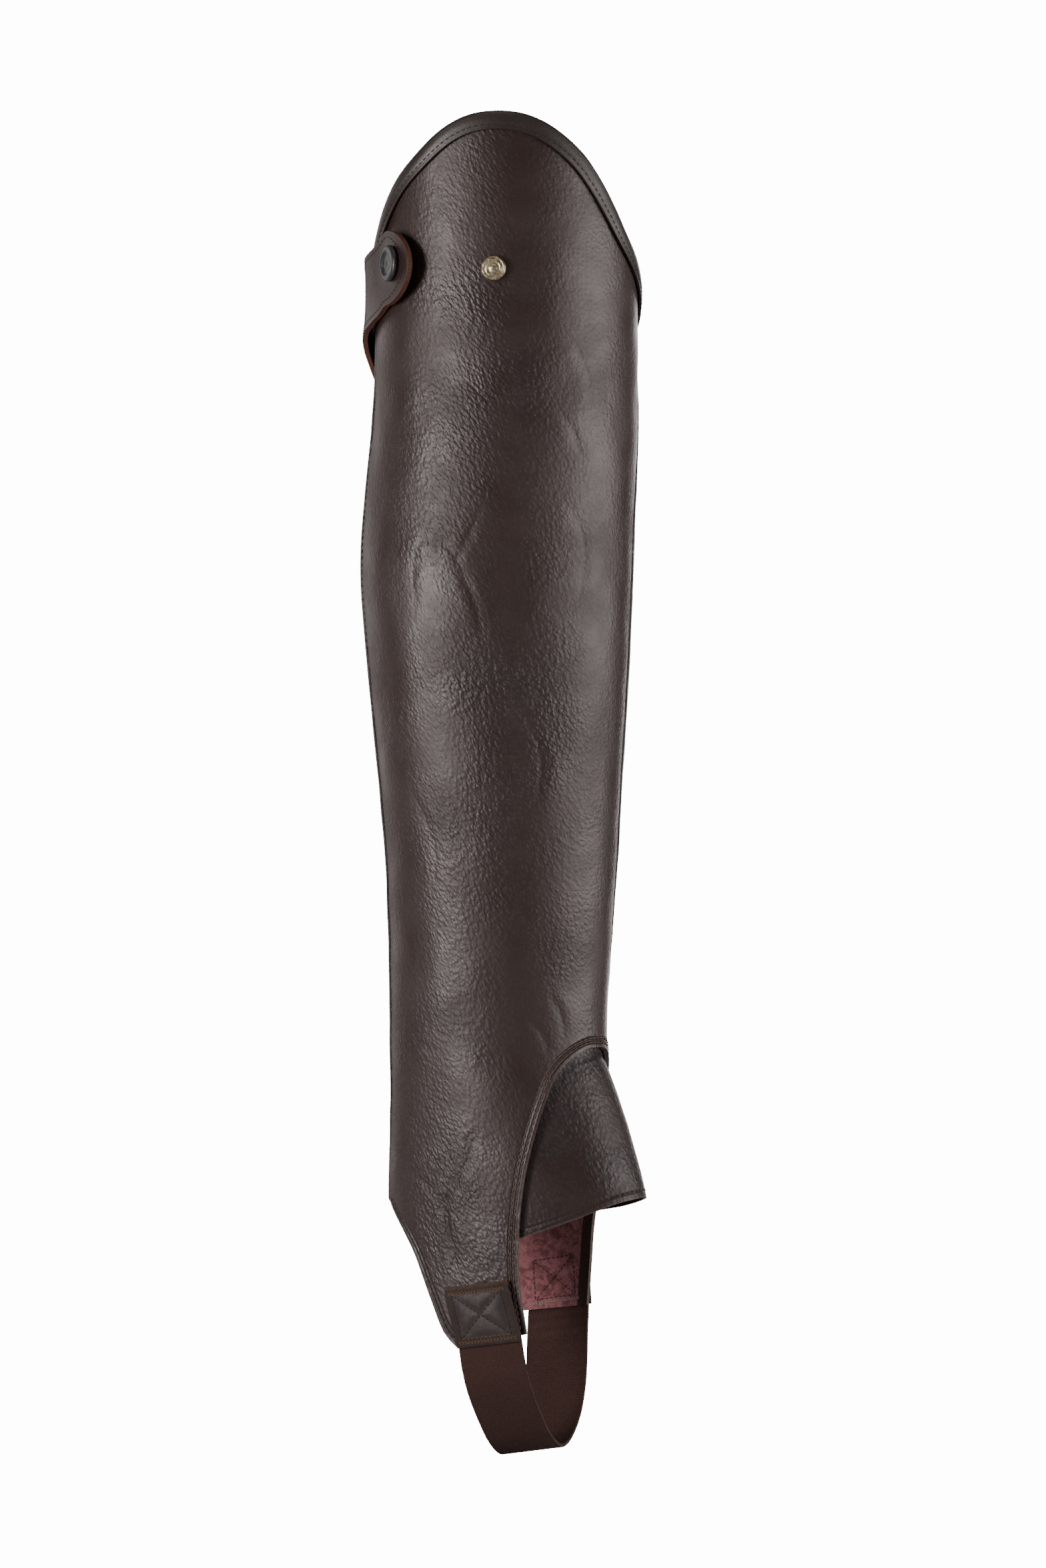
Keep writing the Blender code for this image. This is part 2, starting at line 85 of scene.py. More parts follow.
def smoothRows(rows, x):
    # reads rows of (x, values...) along a smooth curve through them
    rows = np.array(sorted(rows), float)
    keys, values = rows[:, 0], rows[:, 1:]
    x = np.clip(np.asarray(x, float), keys[0], keys[-1])
    i = np.clip(np.searchsorted(keys, x) - 1, 0, len(keys) - 2)
    before = np.maximum(np.arange(len(keys)) - 1, 0)
    after = np.minimum(np.arange(len(keys)) + 1, len(keys) - 1)
    slopes = (values[after] - values[before]) / (keys[after] - keys[before])[:, None]
    span = (keys[i + 1] - keys[i])[..., None]
    t = (x - keys[i])[..., None] / span
    start = (2 * t**3 - 3 * t**2 + 1) * values[i] + (t**3 - 2 * t**2 + t) * slopes[i] * span
    return start + (3 * t**2 - 2 * t**3) * values[i + 1] + (t**3 - t**2) * slopes[i + 1] * span


def alongCurve(points, t):
    # the point at the share t of the way along a smooth curve
    steps = np.linspace(0, len(points) - 1, 12 * (len(points) - 1) + 1)
    line = smoothRows([(k, *p) for k, p in enumerate(points)], steps)
    lengths = np.concatenate([[0], np.cumsum(np.linalg.norm(np.diff(line, axis=0), axis=1))])
    goal = np.clip(t, 0, 1) * lengths[-1]
    return np.stack([np.interp(goal, lengths, column) for column in line.T], -1)


def lerp(a, b, t):
    return a + (b - a) * np.asarray(t)[..., None]


def pair(angle, height):
    return np.stack(np.broadcast_arrays(angle, height), -1).astype(float)


def onLeg(angle, height):
    back, front, half, egg = np.moveaxis(smoothRows(legForm, height), -1, 0)
    turn = np.radians(angle)
    x = (back + front) / 2 - (front - back) / 2 * np.cos(turn)
    y = -half * np.sin(turn) * (1 + egg * np.cos(turn))
    return np.stack(np.broadcast_arrays(x, y, np.asarray(height, float)), -1)


def legNormal(angle, height):
    roundIt = onLeg(angle + 0.5, height) - onLeg(angle - 0.5, height)
    upIt = onLeg(angle, height + 0.5) - onLeg(angle, height - 0.5)
    normal = np.cross(roundIt, upIt)
    return normal / np.linalg.norm(normal, axis=-1, keepdims=True)


def offLeg(angle, height, out):
    return onLeg(angle, height) + legNormal(angle, height) * np.asarray(out, float)[..., None]


def degreeLength(angle, height):
    return np.linalg.norm(onLeg(angle + 0.5, height) - onLeg(angle - 0.5, height), axis=-1)


def angleAt(distance, height):
    # the angle at a distance round from the middle of the back
    angle, steps = 0.0 * (distance + height), 24
    for _ in range(steps):
        angle = angle + distance / steps / degreeLength(angle, height)
    return angle


# The main panel: (angle, height) tables, as in the pattern
panel = {
    "wall": 2.0,
    "apexAngle": 174.0,
    "outerArch": [
        (174, -203.9), (165, -204.0), (153.4, -206.9), (142.9, -212.3), (135.1, -219.2), (124.8, -233.3),
        (114.5, -251.4), (108.4, -268.4), (105.3, -287.0), (104.8, -304.5), (106.6, -323.1),
    ],
    "innerArch": [
        (174, -203.9), (184.5, -204.3), (197, -207.2), (209, -212.8), (218, -219.6), (229, -233.0),
        (238.5, -251.0), (244.5, -268.0), (248.8, -283.0), (251.3, -300.0), (253.4, -317.1),
    ],
    "outerHeel": [
        (27.3, -271.6), (39.7, -278.8), (48.9, -286.7), (55.1, -294.8), (63.3, -311.2), (69.5, -324.0),
        (75.8, -330.1),
    ],
    "innerHeel": [
        (332.7, -271.6), (320.3, -278.0), (311.1, -285.2), (304.9, -292.5), (296.7, -307.0),
        (290.5, -316.5), (284.2, -321.3),
    ],
    "zipFoot": -268.0,
    "zipHead": 118.0,
    "zipOpening": 9.0,
    "wingDrop": 72.0,
    "topGap": 1.0,
    "columns": 64,
    "bodyRows": 96,
    "wingRows": 50,
}
topLine = [
    (0, 121), (14, 122.5), (25, 129), (38, 140.0), (48, 151.0), (58, 161.0), (71, 171.1), (85, 181.0),
    (97, 186.0), (110, 187.3), (122, 185.7), (134, 180.5), (148, 170.4), (158, 159.9), (167, 149.3),
    (176, 139.5), (190, 129.0), (205, 119), (230, 103), (260, 90), (290, 86), (320, 97), (345, 112.6),
    (360, 121),
]
binding = {
    "wall": 1.2, "gap": 0.4, "depth": 8.0, "bend": 1.9, "stitchDepth": 5.9, "stitchLift": 0.08,
    "crowns": [0.0, 0.10, 0.0, 0.22, 0.32, 0.35, 0.3, 0.15, 0.0],  # how full its outer side is, going up
    "squareBy": 25.0,  # degrees from the zip, from where depths are square to the edge
}


def topEdge(angle):
    return smoothRows(topLine, angle)[..., 0]


def belowTop(angle, depth, square):
    # a depth inside the top edge: straight down at square 0, square to the edge at 1
    height = topEdge(angle)
    scale = degreeLength(angle, height)
    slope = np.arctan2(topEdge(angle + 0.5) - topEdge(angle - 0.5), scale)
    drop = depth * (1 - square * np.sin(slope) ** 2) / np.cos(slope)
    return pair(angle + square * depth * np.sin(slope) / scale, height - drop)


def squareShare(angle):
    # how far a depth is measured square to the top edge: straight down at the zip
    return np.minimum(np.minimum(angle, 360 - angle) / binding["squareBy"], 1.0)


def across(u, height):
    # the angle at a share u of the way round: 0 at the zip, 0.5 at the arch's top, 1 at the zip
    edge = angleAt(panel["zipOpening"] / 2, np.asarray(height, float))
    apex = panel["apexAngle"]
    return np.where(u <= 0.5, edge + (apex - edge) * 2 * u, apex + (360 - edge - apex) * (2 * u - 1))


def wingTop(u):
    height = panel["outerArch"][0][1] + panel["wingDrop"] * np.abs(1 - 2 * u)
    return pair(across(u, height), height)


def wingPlace(u, t, heel, arch):
    # a wing of the panel, blended from its four sides: u from heel to arch, t from the top down
    back = 0.0 if heel[0][0] < panel["apexAngle"] else 1.0
    turn, leave = 0.52, 0.64
    start = wingTop(back)[1]
    height = start + (panel["zipFoot"] - start) * np.minimum(t / turn, 1)
    zipSide = pair(across(back, height), height)
    upper = lerp(zipSide, np.array(heel[0]), np.clip((t - turn) / (leave - turn), 0, 1))
    side = np.where((t <= leave)[..., None], upper, alongCurve(heel, (t - leave) / (1 - leave)))
    foot = lerp(np.array(heel[-1]), np.array(arch[-1]), u)
    corners = lerp(lerp(wingTop(back), wingTop(0.5), u), foot, t)
    return lerp(side, alongCurve(arch, t), u) + lerp(wingTop(back + (0.5 - back) * u), foot, t) - corners


def bodyPlace(u, t):
    high = belowTop(across(u, topEdge(0)), binding["wall"] + panel["topGap"], 0.0)
    return lerp(high, wingTop(u), t)


def operator(operation):
    return lambda wire, other: wire.maths(operation, other)


# Shader sums are written as Python sums on these sockets
class Wire:
    def __init__(self, tree, socket):
        self.tree = tree
        self.socket = socket

    def maths(self, operation, *others):
        node = self.tree.nodes.new("ShaderNodeMath")
        node.operation = operation
        for socket, value in zip(node.inputs, (self, *others)):
            plug(self.tree, socket, value)
        return Wire(self.tree, node.outputs[0])

    def __rsub__(self, other):
        return self * -1 + other

    def __abs__(self):
        return self.maths("ABSOLUTE")

    __add__ = __radd__ = operator("ADD")
    __sub__ = operator("SUBTRACT")
    __mul__ = __rmul__ = operator("MULTIPLY")
    __truediv__ = operator("DIVIDE")


def plug(tree, socket, value):
    if isinstance(value, Wire):
        tree.links.new(value.socket, socket)
    elif hasattr(value, "__len__") and len(value) == 3 and socket.type == "RGBA":
        socket.default_value = (*value, 1.0)
    else:
        socket.default_value = value


class Finish:
    # one material: fixed values go straight on the shader's own sockets
    def __init__(self, name, **fixed):
        self.material = bpy.data.materials.new(name)
        self.material.use_nodes = True
        self.tree = self.material.node_tree
        self.shader = self.tree.nodes["Principled BSDF"]
        for key, value in fixed.items():
            plug(self.tree, self.shader.inputs[key.replace("_", " ")], value)
        self.place = self.add("ShaderNodeTexCoord", output="Object")

    def add(self, kind, settings=None, sockets=None, output=0):
        node = self.tree.nodes.new(kind)
        for key, value in (settings or {}).items():
            setattr(node, key, value)
        for key, value in (sockets or {}).items():
            plug(self.tree, node.inputs[key], value)
        return Wire(self.tree, node.outputs[output])

    def noise(self, size, detail=2.0, rough=0.5, twist=0.0, place=None):
        # size is the rough width of a blotch in millimetres
        sockets = {"Vector": place or self.place, "Scale": 1000 / size, "Detail": detail}
        return self.add("ShaderNodeTexNoise", None, {**sockets, "Roughness": rough, "Distortion": twist})

    def pebbles(self, size, place, feature="F1"):
        sockets = {"Vector": place, "Scale": 1000 / size, "Randomness": 1.0}
        if feature == "SMOOTH_F1":
            sockets["Smoothness"] = 0.35
        return self.add("ShaderNodeTexVoronoi", {"feature": feature}, sockets, "Distance")

    def stretched(self, scale, turn=(0.0, 0.0, 0.0), place=None):
        # turned first, then stretched along the turned axes
        turned = self.add("ShaderNodeMapping", None, {"Vector": place or self.place, "Rotation": turn})
        return self.add("ShaderNodeMapping", None, {"Vector": turned, "Scale": scale})

    def shifted(self, amount, size):
        # the place, pushed about by a noise, so that cells lose their straight sides
        sockets = {"Vector": self.place, "Scale": 1000 / size, "Detail": 2.0}
        push = self.add("ShaderNodeTexNoise", None, sockets, "Color")
        centred = self.add("ShaderNodeVectorMath", {"operation": "SUBTRACT"}, {0: push, 1: (0.5, 0.5, 0.5)})
        small = self.add("ShaderNodeVectorMath", {"operation": "SCALE"}, {0: centred, "Scale": amount * mm})
        return self.add("ShaderNodeVectorMath", {"operation": "ADD"}, {0: self.place, 1: small})

    def between(self, wire, low, high, start=0.0, end=1.0):
        sockets = {"Value": wire, "From Min": low, "From Max": high, "To Min": start, "To Max": end}
        return self.add("ShaderNodeMapRange", {"interpolation_type": "SMOOTHSTEP"}, sockets)

    def blend(self, share, first, second):
        return self.add("ShaderNodeMix", {"data_type": "RGBA"}, {0: share, 6: first, 7: second}, 2)

    def marked(self, name):
        return self.add("ShaderNodeAttribute", {"attribute_name": name}, None, "Fac")

    def relief(self, height, depth):
        # depth is how tall a height of 1 stands, in millimetres
        sockets = {"Height": height, "Strength": 1.0, "Distance": depth * mm}
        self.feed("Normal", self.add("ShaderNodeBump", None, sockets))

    def feed(self, name, wire):
        plug(self.tree, self.shader.inputs[name], wire)


leatherLook = {
    # valleyShade: painted shade, laid into the grain's valleys
    "valleyShade": (0.0060, 0.0026, 0.0022),
    # shadedSeam: painted shade, a dark line along the seam grooves
    "shadedSeam": (0.0022, 0.0012, 0.0010),
    "base": (0.0186, 0.0079, 0.0064),
    "worn": (0.048, 0.0315, 0.0255),
    "pebble": 1.75,      # mm, the grain
    "wrinkle": 2.6,      # mm, the drawn lines in it
    "slant": 0.6,        # radians, how far the grain leans
    "depth": 0.28,       # mm, its relief
    "roughness": (0.38, 0.50),
    "gloss": 0.48,
}


def makeLeather(name, look, rows=(), grain=1.0, marks=True, zones=False):
    # rows: distances from the edge, in millimetres, along which stitching puckers the leather
    # zones: whether the grain's strength and the seams are marked on the mesh
    finish = Finish(name, Specular_IOR_Level=look["gloss"])
    soft = finish.shifted(look["pebble"] * 0.45, look["pebble"] * 2.2)
    slanted = finish.stretched((1.25, 1.0, 0.72), (0.0, look["slant"], 0.0), soft)
    pebbles, small = (
        finish.between(finish.pebbles(look["pebble"] * share, slanted, "SMOOTH_F1"), 0.10, 0.80, 1.0, 0.0)
        for share in (1.0, 0.55))
    long = finish.stretched((1.0, 1.0, 0.42), (0.0, look["slant"] * 1.2, 0.0), soft)
    drawn = finish.noise(look["wrinkle"], 1.0, 0.5, 0.3, long)
    strong = finish.between(finish.noise(34), 0.36, 0.64, 0.60, 1.15) * grain
    if zones:
        strong = strong * finish.marked("grainShare")
    pores = finish.noise(0.55, 2.0, 0.6)
    height = (pebbles * 0.80 + small * 0.36 + drawn * 0.75) * strong + pores * 0.06
    if rows:
        distance = finish.marked("edgeDistance")
        for row in rows:
            height = height + finish.between(abs(distance - row), 0.0, 1.0) * 1.6
    if zones:
        shadedSeam = abs(finish.marked("seamOffset"))
        height = height - finish.between(shadedSeam, 0.1, 0.7, 2.6, 0.0)
    finish.relief(height, look["depth"])
    mottle = finish.between(finish.noise(30, 3.0, 0.55), 0.3, 0.7)
    colour = finish.blend(mottle, look["base"], tuple(c * 1.12 for c in look["base"]))
    # painted shade: the colour darkens in the grain's valleys, where the relief is low
    valley = (1 - pebbles * 0.7 - small * 0.3) * strong
    colour = finish.blend(valley, colour, look["valleyShade"])
    rubbed = finish.between(finish.noise(60, 2.0, 0.6), 0.5, 0.75) * 0.12
    if marks:
        edge = finish.marked("edgeDistance")
        rubbed = rubbed + finish.between(edge, 0.0, 1.0, 1.0, 0.0)
    colour = finish.blend(rubbed, colour, look["worn"])
    if "frayed" in look:
        # the raw upper edge, where the leather's brown inside shows
        fray = finish.marked("topDistance") + (finish.noise(1.6, 3.0, 0.6) - 0.5) * 2.6
        width, reach = look["borderWidth"], look["frayWidth"]
        border = finish.between(finish.marked("edgeDistance"), width, width + 0.8, 0.8, 0.0)
        colour = finish.blend(border, colour, look["border"])
        raw = finish.between(fray, reach - 0.6, reach + 0.6, 0.9, 0.0)
        colour = finish.blend(raw, colour, look["frayed"])
    if zones:
        # painted shade: a dark line along each seam groove
        colour = finish.blend(finish.between(shadedSeam, 0.15, 0.6, 0.85, 0.0), colour, look["shadedSeam"])
    finish.feed("Base Color", colour)
    dull = finish.between(finish.noise(22), 0.3, 0.7, *look["roughness"])
    finish.feed("Roughness", dull + valley * 0.12 + (border * 0.2 if "frayed" in look else 0.0))
    return finish.material


def makeCutEdge(name, colour, dark):
    finish = Finish(name, Roughness=0.75, Specular_IOR_Level=0.3)
    fibres = finish.noise(0.5, 3.0, 0.6)
    finish.feed("Base Color", finish.blend(finish.between(fibres, 0.3, 0.7), colour, dark))
    finish.relief(fibres, 0.12)
    return finish.material


suedeLook = {
    "base": (0.270, 0.112, 0.120), "dark": (0.125, 0.047, 0.052), "light": (0.400, 0.200, 0.205),
    "turned": (0.034, 0.021, 0.018), "turnedWidth": 5.0,
}
darkSuedeLook = {
    "base": (0.017, 0.0115, 0.0095), "dark": (0.009, 0.006, 0.005), "light": (0.026, 0.018, 0.015),
    "turned": (0.013, 0.009, 0.008), "turnedWidth": 3.0,
}


def makeSuede(name, look):
    # the leather's turned margin shows as a dark strip of turnedWidth along the arch
    finish = Finish(name, Roughness=0.95, Specular_IOR_Level=0.12, Sheen_Weight=0.06, Sheen_Roughness=0.5)
    brushed = finish.noise(5.5, 4.0, 0.62, 1.4)
    broad = finish.noise(16, 2.0, 0.5, 0.6)
    nap = finish.noise(0.45, 2.0, 0.6)
    colour = finish.blend(finish.between(brushed, 0.36, 0.62), look["dark"], look["base"])
    colour = finish.blend(finish.between(broad, 0.5, 0.7) * 0.5, colour, look["light"])
    colour = finish.blend(finish.between(nap, 0.35, 0.7) * 0.35, colour, look["dark"])
    width = look["turnedWidth"]
    strip = finish.between(finish.marked("archDistance"), width - 0.3, width + 0.2, 1.0, 0.0)
    finish.feed("Base Color", finish.blend(strip, colour, look["turned"]))
    finish.relief(nap * (1 - strip) + brushed * 0.8 + strip * 1.5, 0.30)
    return finish.material


def makeThread(name, colour):
    finish = Finish(name, Roughness=0.62, Specular_IOR_Level=0.35)
    fuzz = finish.noise(0.35, 2.0, 0.6)
    finish.feed("Base Color", finish.blend(fuzz, colour, tuple(c * 0.55 for c in colour)))
    finish.relief(fuzz, 0.06)
    return finish.material


elasticLook = {
    # gap: painted shade between the twill's ribs
    "rib": (0.060, 0.0285, 0.0240), "gap": (0.026, 0.0125, 0.0105),
    "pitch": 0.95, "pickPitch": 0.52, "endPitch": 0.62, "slope": 0.62,
}


def makeElastic(name, look):
    # a fine twill that runs over the strap's own lengthwise and crosswise measures
    finish = Finish(name, Roughness=0.85, Specular_IOR_Level=0.18)
    lengthwise = finish.marked("lengthwise")
    crosswise = finish.marked("crosswise")

    def waves(along, pitch):
        return (along * (2 * pi / pitch)).maths("SINE") * 0.5 + 0.5

    ribs = waves(lengthwise + crosswise / look["slope"], look["pitch"])
    picks, ends = waves(lengthwise, look["pickPitch"]), waves(crosswise, look["endPitch"])
    weave = ribs * 0.7 + picks * 0.18 + ends * 0.12
    uneven = finish.noise(9, 2.0, 0.6) * 0.5 + finish.noise(1.6, 2.0, 0.6) * 0.5
    # painted shade: the colour goes darker where the weave is low, between the ribs
    share = finish.between(weave + uneven * 0.5, 0.35, 1.15)
    finish.feed("Base Color", finish.blend(share, look["gap"], look["rib"]))
    finish.relief(weave + uneven * 0.3, 0.22)
    return finish.material


def makeWoven(name, colour, pitch):
    finish = Finish(name, Roughness=0.85, Specular_IOR_Level=0.25)
    threads = finish.pebbles(pitch, finish.stretched((1.0, 1.0, 0.6)))
    shade = tuple(c * 0.4 for c in colour)
    finish.feed("Base Color", finish.blend(finish.between(threads, 0.1, 0.8), colour, shade))
    finish.relief(1 - threads, 0.15)
    return finish.material


def makeMetal(name, colour, dark, roughness, metallic=1.0):
    finish = Finish(name, Metallic=metallic)
    marks = finish.noise(1.2, 3.0, 0.65)
    finish.feed("Base Color", finish.blend(finish.between(marks, 0.35, 0.7), dark, colour))
    scratches = finish.noise(0.4, 2.0, 0.6)
    finish.feed("Roughness", finish.between(scratches, 0.3, 0.7, roughness * 0.8, roughness * 1.25))
    finish.relief(marks, 0.05)
    return finish.material


bindingLook = {
    **leatherLook, "base": (0.0140, 0.0082, 0.0056), "worn": (0.024, 0.0155, 0.0110),
    "pebble": 1.1, "wrinkle": 2.2, "depth": 0.05, "roughness": (0.38, 0.48),
}
# the tongue's copy of the main leather has a lighter base: painted light, lifting the tongue where it lies in
# shade beside the arch edge
tongueLook = {**leatherLook, "base": (0.0205, 0.0086, 0.0069), "depth": 0.15, "gloss": 0.40}
tabLook = {
    **leatherLook, "base": (0.0150, 0.0066, 0.0046), "worn": (0.040, 0.0165, 0.0105),
    "pebble": 1.1, "depth": 0.05, "gloss": 0.34,
}
patchLook = {
    # valleyShade: painted shade in the grain's valleys
    **leatherLook, "base": (0.0135, 0.0064, 0.0052), "valleyShade": (0.0070, 0.0034, 0.0026),
    "worn": (0.022, 0.0115, 0.009), "wrinkle": 2.4, "depth": 0.05, "roughness": (0.50, 0.60), "gloss": 0.36,
    "frayed": (0.042, 0.0175, 0.0080), "frayWidth": 1.3,
    "border": (0.0135, 0.0066, 0.0036), "borderWidth": 3.4,
}

archRows = (2.1, 3.9)  # mm, the two rows of stitches along the arch
mainLeather = makeLeather("mainLeather", leatherLook, rows=archRows, zones=True)
bindingLeather = makeLeather("bindingLeather", bindingLook, grain=0.6, marks=False)
tongueLeather = makeLeather("tongueLeather", tongueLook, rows=(3.0,), grain=1.1)
tabLeather = makeLeather("tabLeather", tabLook, grain=0.6)
patchLeather = makeLeather("patchLeather", patchLook, grain=0.8)
burgundySuede = makeSuede("burgundySuede", suedeLook)
darkSuede = makeSuede("darkSuede", darkSuedeLook)
paleCut = makeCutEdge("paleCutEdge", (0.085, 0.064, 0.055), (0.045, 0.032, 0.027))
darkCut = makeCutEdge("darkCutEdge", (0.026, 0.017, 0.013), (0.012, 0.008, 0.006))
redCut = makeCutEdge("redCutEdge", (0.100, 0.037, 0.021), (0.040, 0.015, 0.010))
brownThread = makeThread("brownThread", (0.090, 0.060, 0.042))
darkThread = makeThread("darkThread", (0.0125, 0.0085, 0.0075))
tanThread = makeThread("tanThread", (0.098, 0.046, 0.022))
paleThread = makeThread("paleThread", (0.27, 0.20, 0.185))
wineThread = makeThread("wineThread", (0.040, 0.0125, 0.0145))
brownElastic = makeElastic("brownElastic", elasticLook)
zipCloth = makeWoven("zipCloth", (0.016, 0.0108, 0.009), 0.7)
zipPlastic = Finish("zipPlastic", Base_Color=(0.016, 0.012, 0.011), Roughness=0.42).material
snapBlack = makeMetal("snapBlack", (0.030, 0.031, 0.033), (0.012, 0.012, 0.013), 0.36, metallic=0.3)
darkSteel = makeMetal("darkSteel", (0.20, 0.19, 0.18), (0.08, 0.075, 0.07), 0.38)
agedBrass = makeMetal("agedBrass", (0.52, 0.455, 0.31), (0.20, 0.165, 0.10), 0.36)
print("finishes made")


def moveGrid(bm, columns, rows, place):
    # a grid whose vertex at the shares (u, v) goes to place(u, v)
    made = bmesh.ops.create_grid(bm, x_segments=columns, y_segments=rows, size=0.5)["verts"]
    u = np.array([vertex.co.x + 0.5 for vertex in made])
    v = np.array([vertex.co.y + 0.5 for vertex in made])
    for vertex, spot in zip(made, place(u, v)):
        vertex.co = Vector(spot) * mm
    return made, u, v


def startMesh(*marks):
    # a new mesh that can carry the named measures on its vertices
    bm = bmesh.new()
    for name in marks:
        bm.verts.layers.float.new(name)
    return bm


def mark(bm, name, verts, values):
    layer = bm.verts.layers.float[name]
    for vertex, value in zip(verts, values):
        vertex[layer] = float(value)


def makeTree(points):
    tree = KDTree(len(points))
    for k, point in enumerate(points):
        tree.insert(Vector(point), k)
    tree.balance()
    return tree


def distances(verts, line):
    # each vertex's distance in millimetres to a line of close points
    tree = makeTree(line)
    return [tree.find(vertex.co / mm)[2] for vertex in verts]


def addPiece(name, bm, finishes, slotName, wall=0.0, roundBy=0.0, node=None):
    # finishes: for all of it, or for the face and the rim, or for the face, the back and the rim
    # node: the CAD node that it stands for
    # returns the piece and its flat area in square metres, measured before it is given its wall
    area = sum(face.calc_area() for face in bm.faces)
    mesh = bpy.data.meshes.new(name)
    bm.to_mesh(mesh)
    bm.free()
    for finish in finishes:
        mesh.materials.append(finish)
    mesh.shade_smooth()
    piece = bpy.data.objects.new(name, mesh)
    bpy.context.scene.collection.objects.link(piece)
    if wall:
        thicken = piece.modifiers.new("wall", "SOLIDIFY")
        thicken.thickness = wall * mm
        thicken.offset = -1.0
        thicken.use_even_offset = True
        thicken.material_offset = 1 if len(finishes) > 2 else 0
        thicken.material_offset_rim = len(finishes) - 1
    if roundBy:
        rounding = piece.modifiers.new("roundedEdge", "BEVEL")
        rounding.width = roundBy * mm
        rounding.segments = 2
        rounding.limit_method = "ANGLE"
        rounding.angle_limit = radians(55)
        rounding.harden_normals = True
    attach(piece, "root")
    if node:
        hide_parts(node)
    return piece, area


stud = {
    "angle": 107.9, "height": 121.5, "gap": 0.3, "beads": 24, "beadRing": (3.8, 1.62), "beadRadius": 0.28,
    "profile": [
        (0.0, 2.25), (0.7, 2.22), (1.3, 2.0), (1.7, 1.75), (2.1, 1.6), (2.6, 1.62), (2.8, 1.85),
        (3.05, 1.95), (3.3, 1.85), (3.5, 1.62), (4.1, 1.6), (4.35, 1.85), (4.6, 1.95), (4.9, 1.75),
        (5.15, 1.2), (5.25, 0.6), (5.2, 0.0),
    ],
}
snap = {
    "distance": 59.5, "height": 125.5, "gap": 0.3,
    "profile": [
        (0.0, 1.05), (1.2, 1.1), (2.2, 1.3), (3.0, 1.2), (4.3, 1.2), (4.9, 1.45), (5.5, 1.85), (6.2, 1.95),
        (6.9, 1.75), (7.35, 1.35), (7.6, 0.8), (7.6, 0.3), (7.4, 0.0),
    ],
}

# Folds and veins in the leather: depth, how wide the soft part is, and the line they follow (angle, height)
creases = [
    (0.50, 3.2, [(91, -241), (87, -250), (80.6, -258), (76, -265), (73, -270.5), (74, -279), (76.4, -291),
                 (79, -305)]),
    (0.30, 3.0, [(50, -256), (56, -258.5), (61, -261), (66, -264), (70.5, -268), (73.5, -274), (74.5, -282)]),
    (0.34, 2.6, [(80.2, 9.6), (85, 9.8), (89.5, 8.3), (93, 5.0), (96.2, 1.0)]),
    (0.30, 2.6, [(96.2, 1.0), (99.5, -8), (103.5, -18), (106.0, -32)]),
    (0.26, 2.6, [(96.2, 1.0), (99.0, 6.5), (101.5, 12.5), (104.8, 21)]),
    (0.25, 2.8, [(80.2, 9.6), (77.5, 4), (76.0, -6), (76.8, -18)]),
    (0.26, 2.6, [(139.9, 93.5), (145.0, 88), (150.1, 78.6), (152.0, 66)]),
    (0.25, 2.6, [(137.0, 62), (143.0, 55), (147.0, 45)]),
    (0.30, 3.4, [(142, 24), (148, 15), (151, 2), (149, -14)]),
    (0.28, 3.4, [(120, -60), (127, -70), (131, -84), (129, -100)]),
    (0.36, 2.6, [(139, -182), (145, -190), (147, -199)]),
    (0.30, 2.6, [(126, -192), (133, -197), (138, -206)]),
    (0.24, 4.0, [(98, 74), (105, 68), (113, 65), (121, 59)]),
    (0.26, 3.6, [(66, -96), (73, -106), (78, -119), (77, -133)]),
    (0.24, 3.4, [(58, -196), (66, -203), (76, -205)]),
    (0.55, 3.2, [(294, -244), (289, -256), (284, -270), (281, -286)]),
    (0.45, 3.0, [(284, -270), (279, -259), (272, -248)]),
    (0.40, 3.0, [(268, 22), (261, 12), (252, 6), (244, -6)]),
    (0.32, 2.8, [(261, 12), (258, -2), (252, -16)]),
    (0.30, 3.4, [(302, -70), (290, -80), (281, -94)]),
    (0.30, 3.0, [(232, 44), (225, 32), (219, 15)]),
    (0.28, 3.0, [(312, -176), (298, -186), (287, -189)]),
]
# Seams beside the zip's facings and on the inner front: the groove's depth, a small step on one side of it,
# the side that stands out (1 for larger angles), and the line (angle, height)
seams = [
    (0.40, 0.50, -1, [(35, 96), (34.5, 60), (34, 0), (34, -43), (33, -110), (31, -180), (26.5, -262)]),
    (0.40, 0.50, 1, [(325, 62), (326, 20), (326, -43), (327, -110), (329, -180), (333.5, -262)]),
    (0.40, 0.45, 1, [(207, 92), (200, 50), (194.5, 20), (192.5, -40), (193.5, -100), (199, -150),
                     (209, -196)]),
]
# Hollows and swellings: angle, height, how far round and up they reach, and how far they stand out
swells = [
    (82, 80, 18, 16, -0.9), (66, 66, 16, 12, 0.5), (100, 30, 16, 26, 0.5), (70, -30, 14, 20, 0.45),
    (150, 60, 14, 24, 0.5), (96, -70, 22, 18, -0.45), (128, -130, 18, 26, 0.5), (64, -150, 16, 22, -0.5),
    (92, -215, 20, 14, 0.5), (42, -238, 17, 36, 1.2), (93, 8, 12, 26, 0.5), (60, -262, 9, 12, 0.25),
    (92, -272, 10, 14, 0.3), (140, -10, 14, 20, -0.45),
    (206, 60, 18, 30, 0.5), (240, -40, 20, 26, -0.5), (284, 40, 18, 26, 0.5), (300, -140, 18, 26, -0.5),
    (262, -200, 18, 18, 0.5), (270, -272, 10, 14, 0.6), (220, -120, 16, 26, 0.4), (40, 40, 12, 30, 0.4),
]
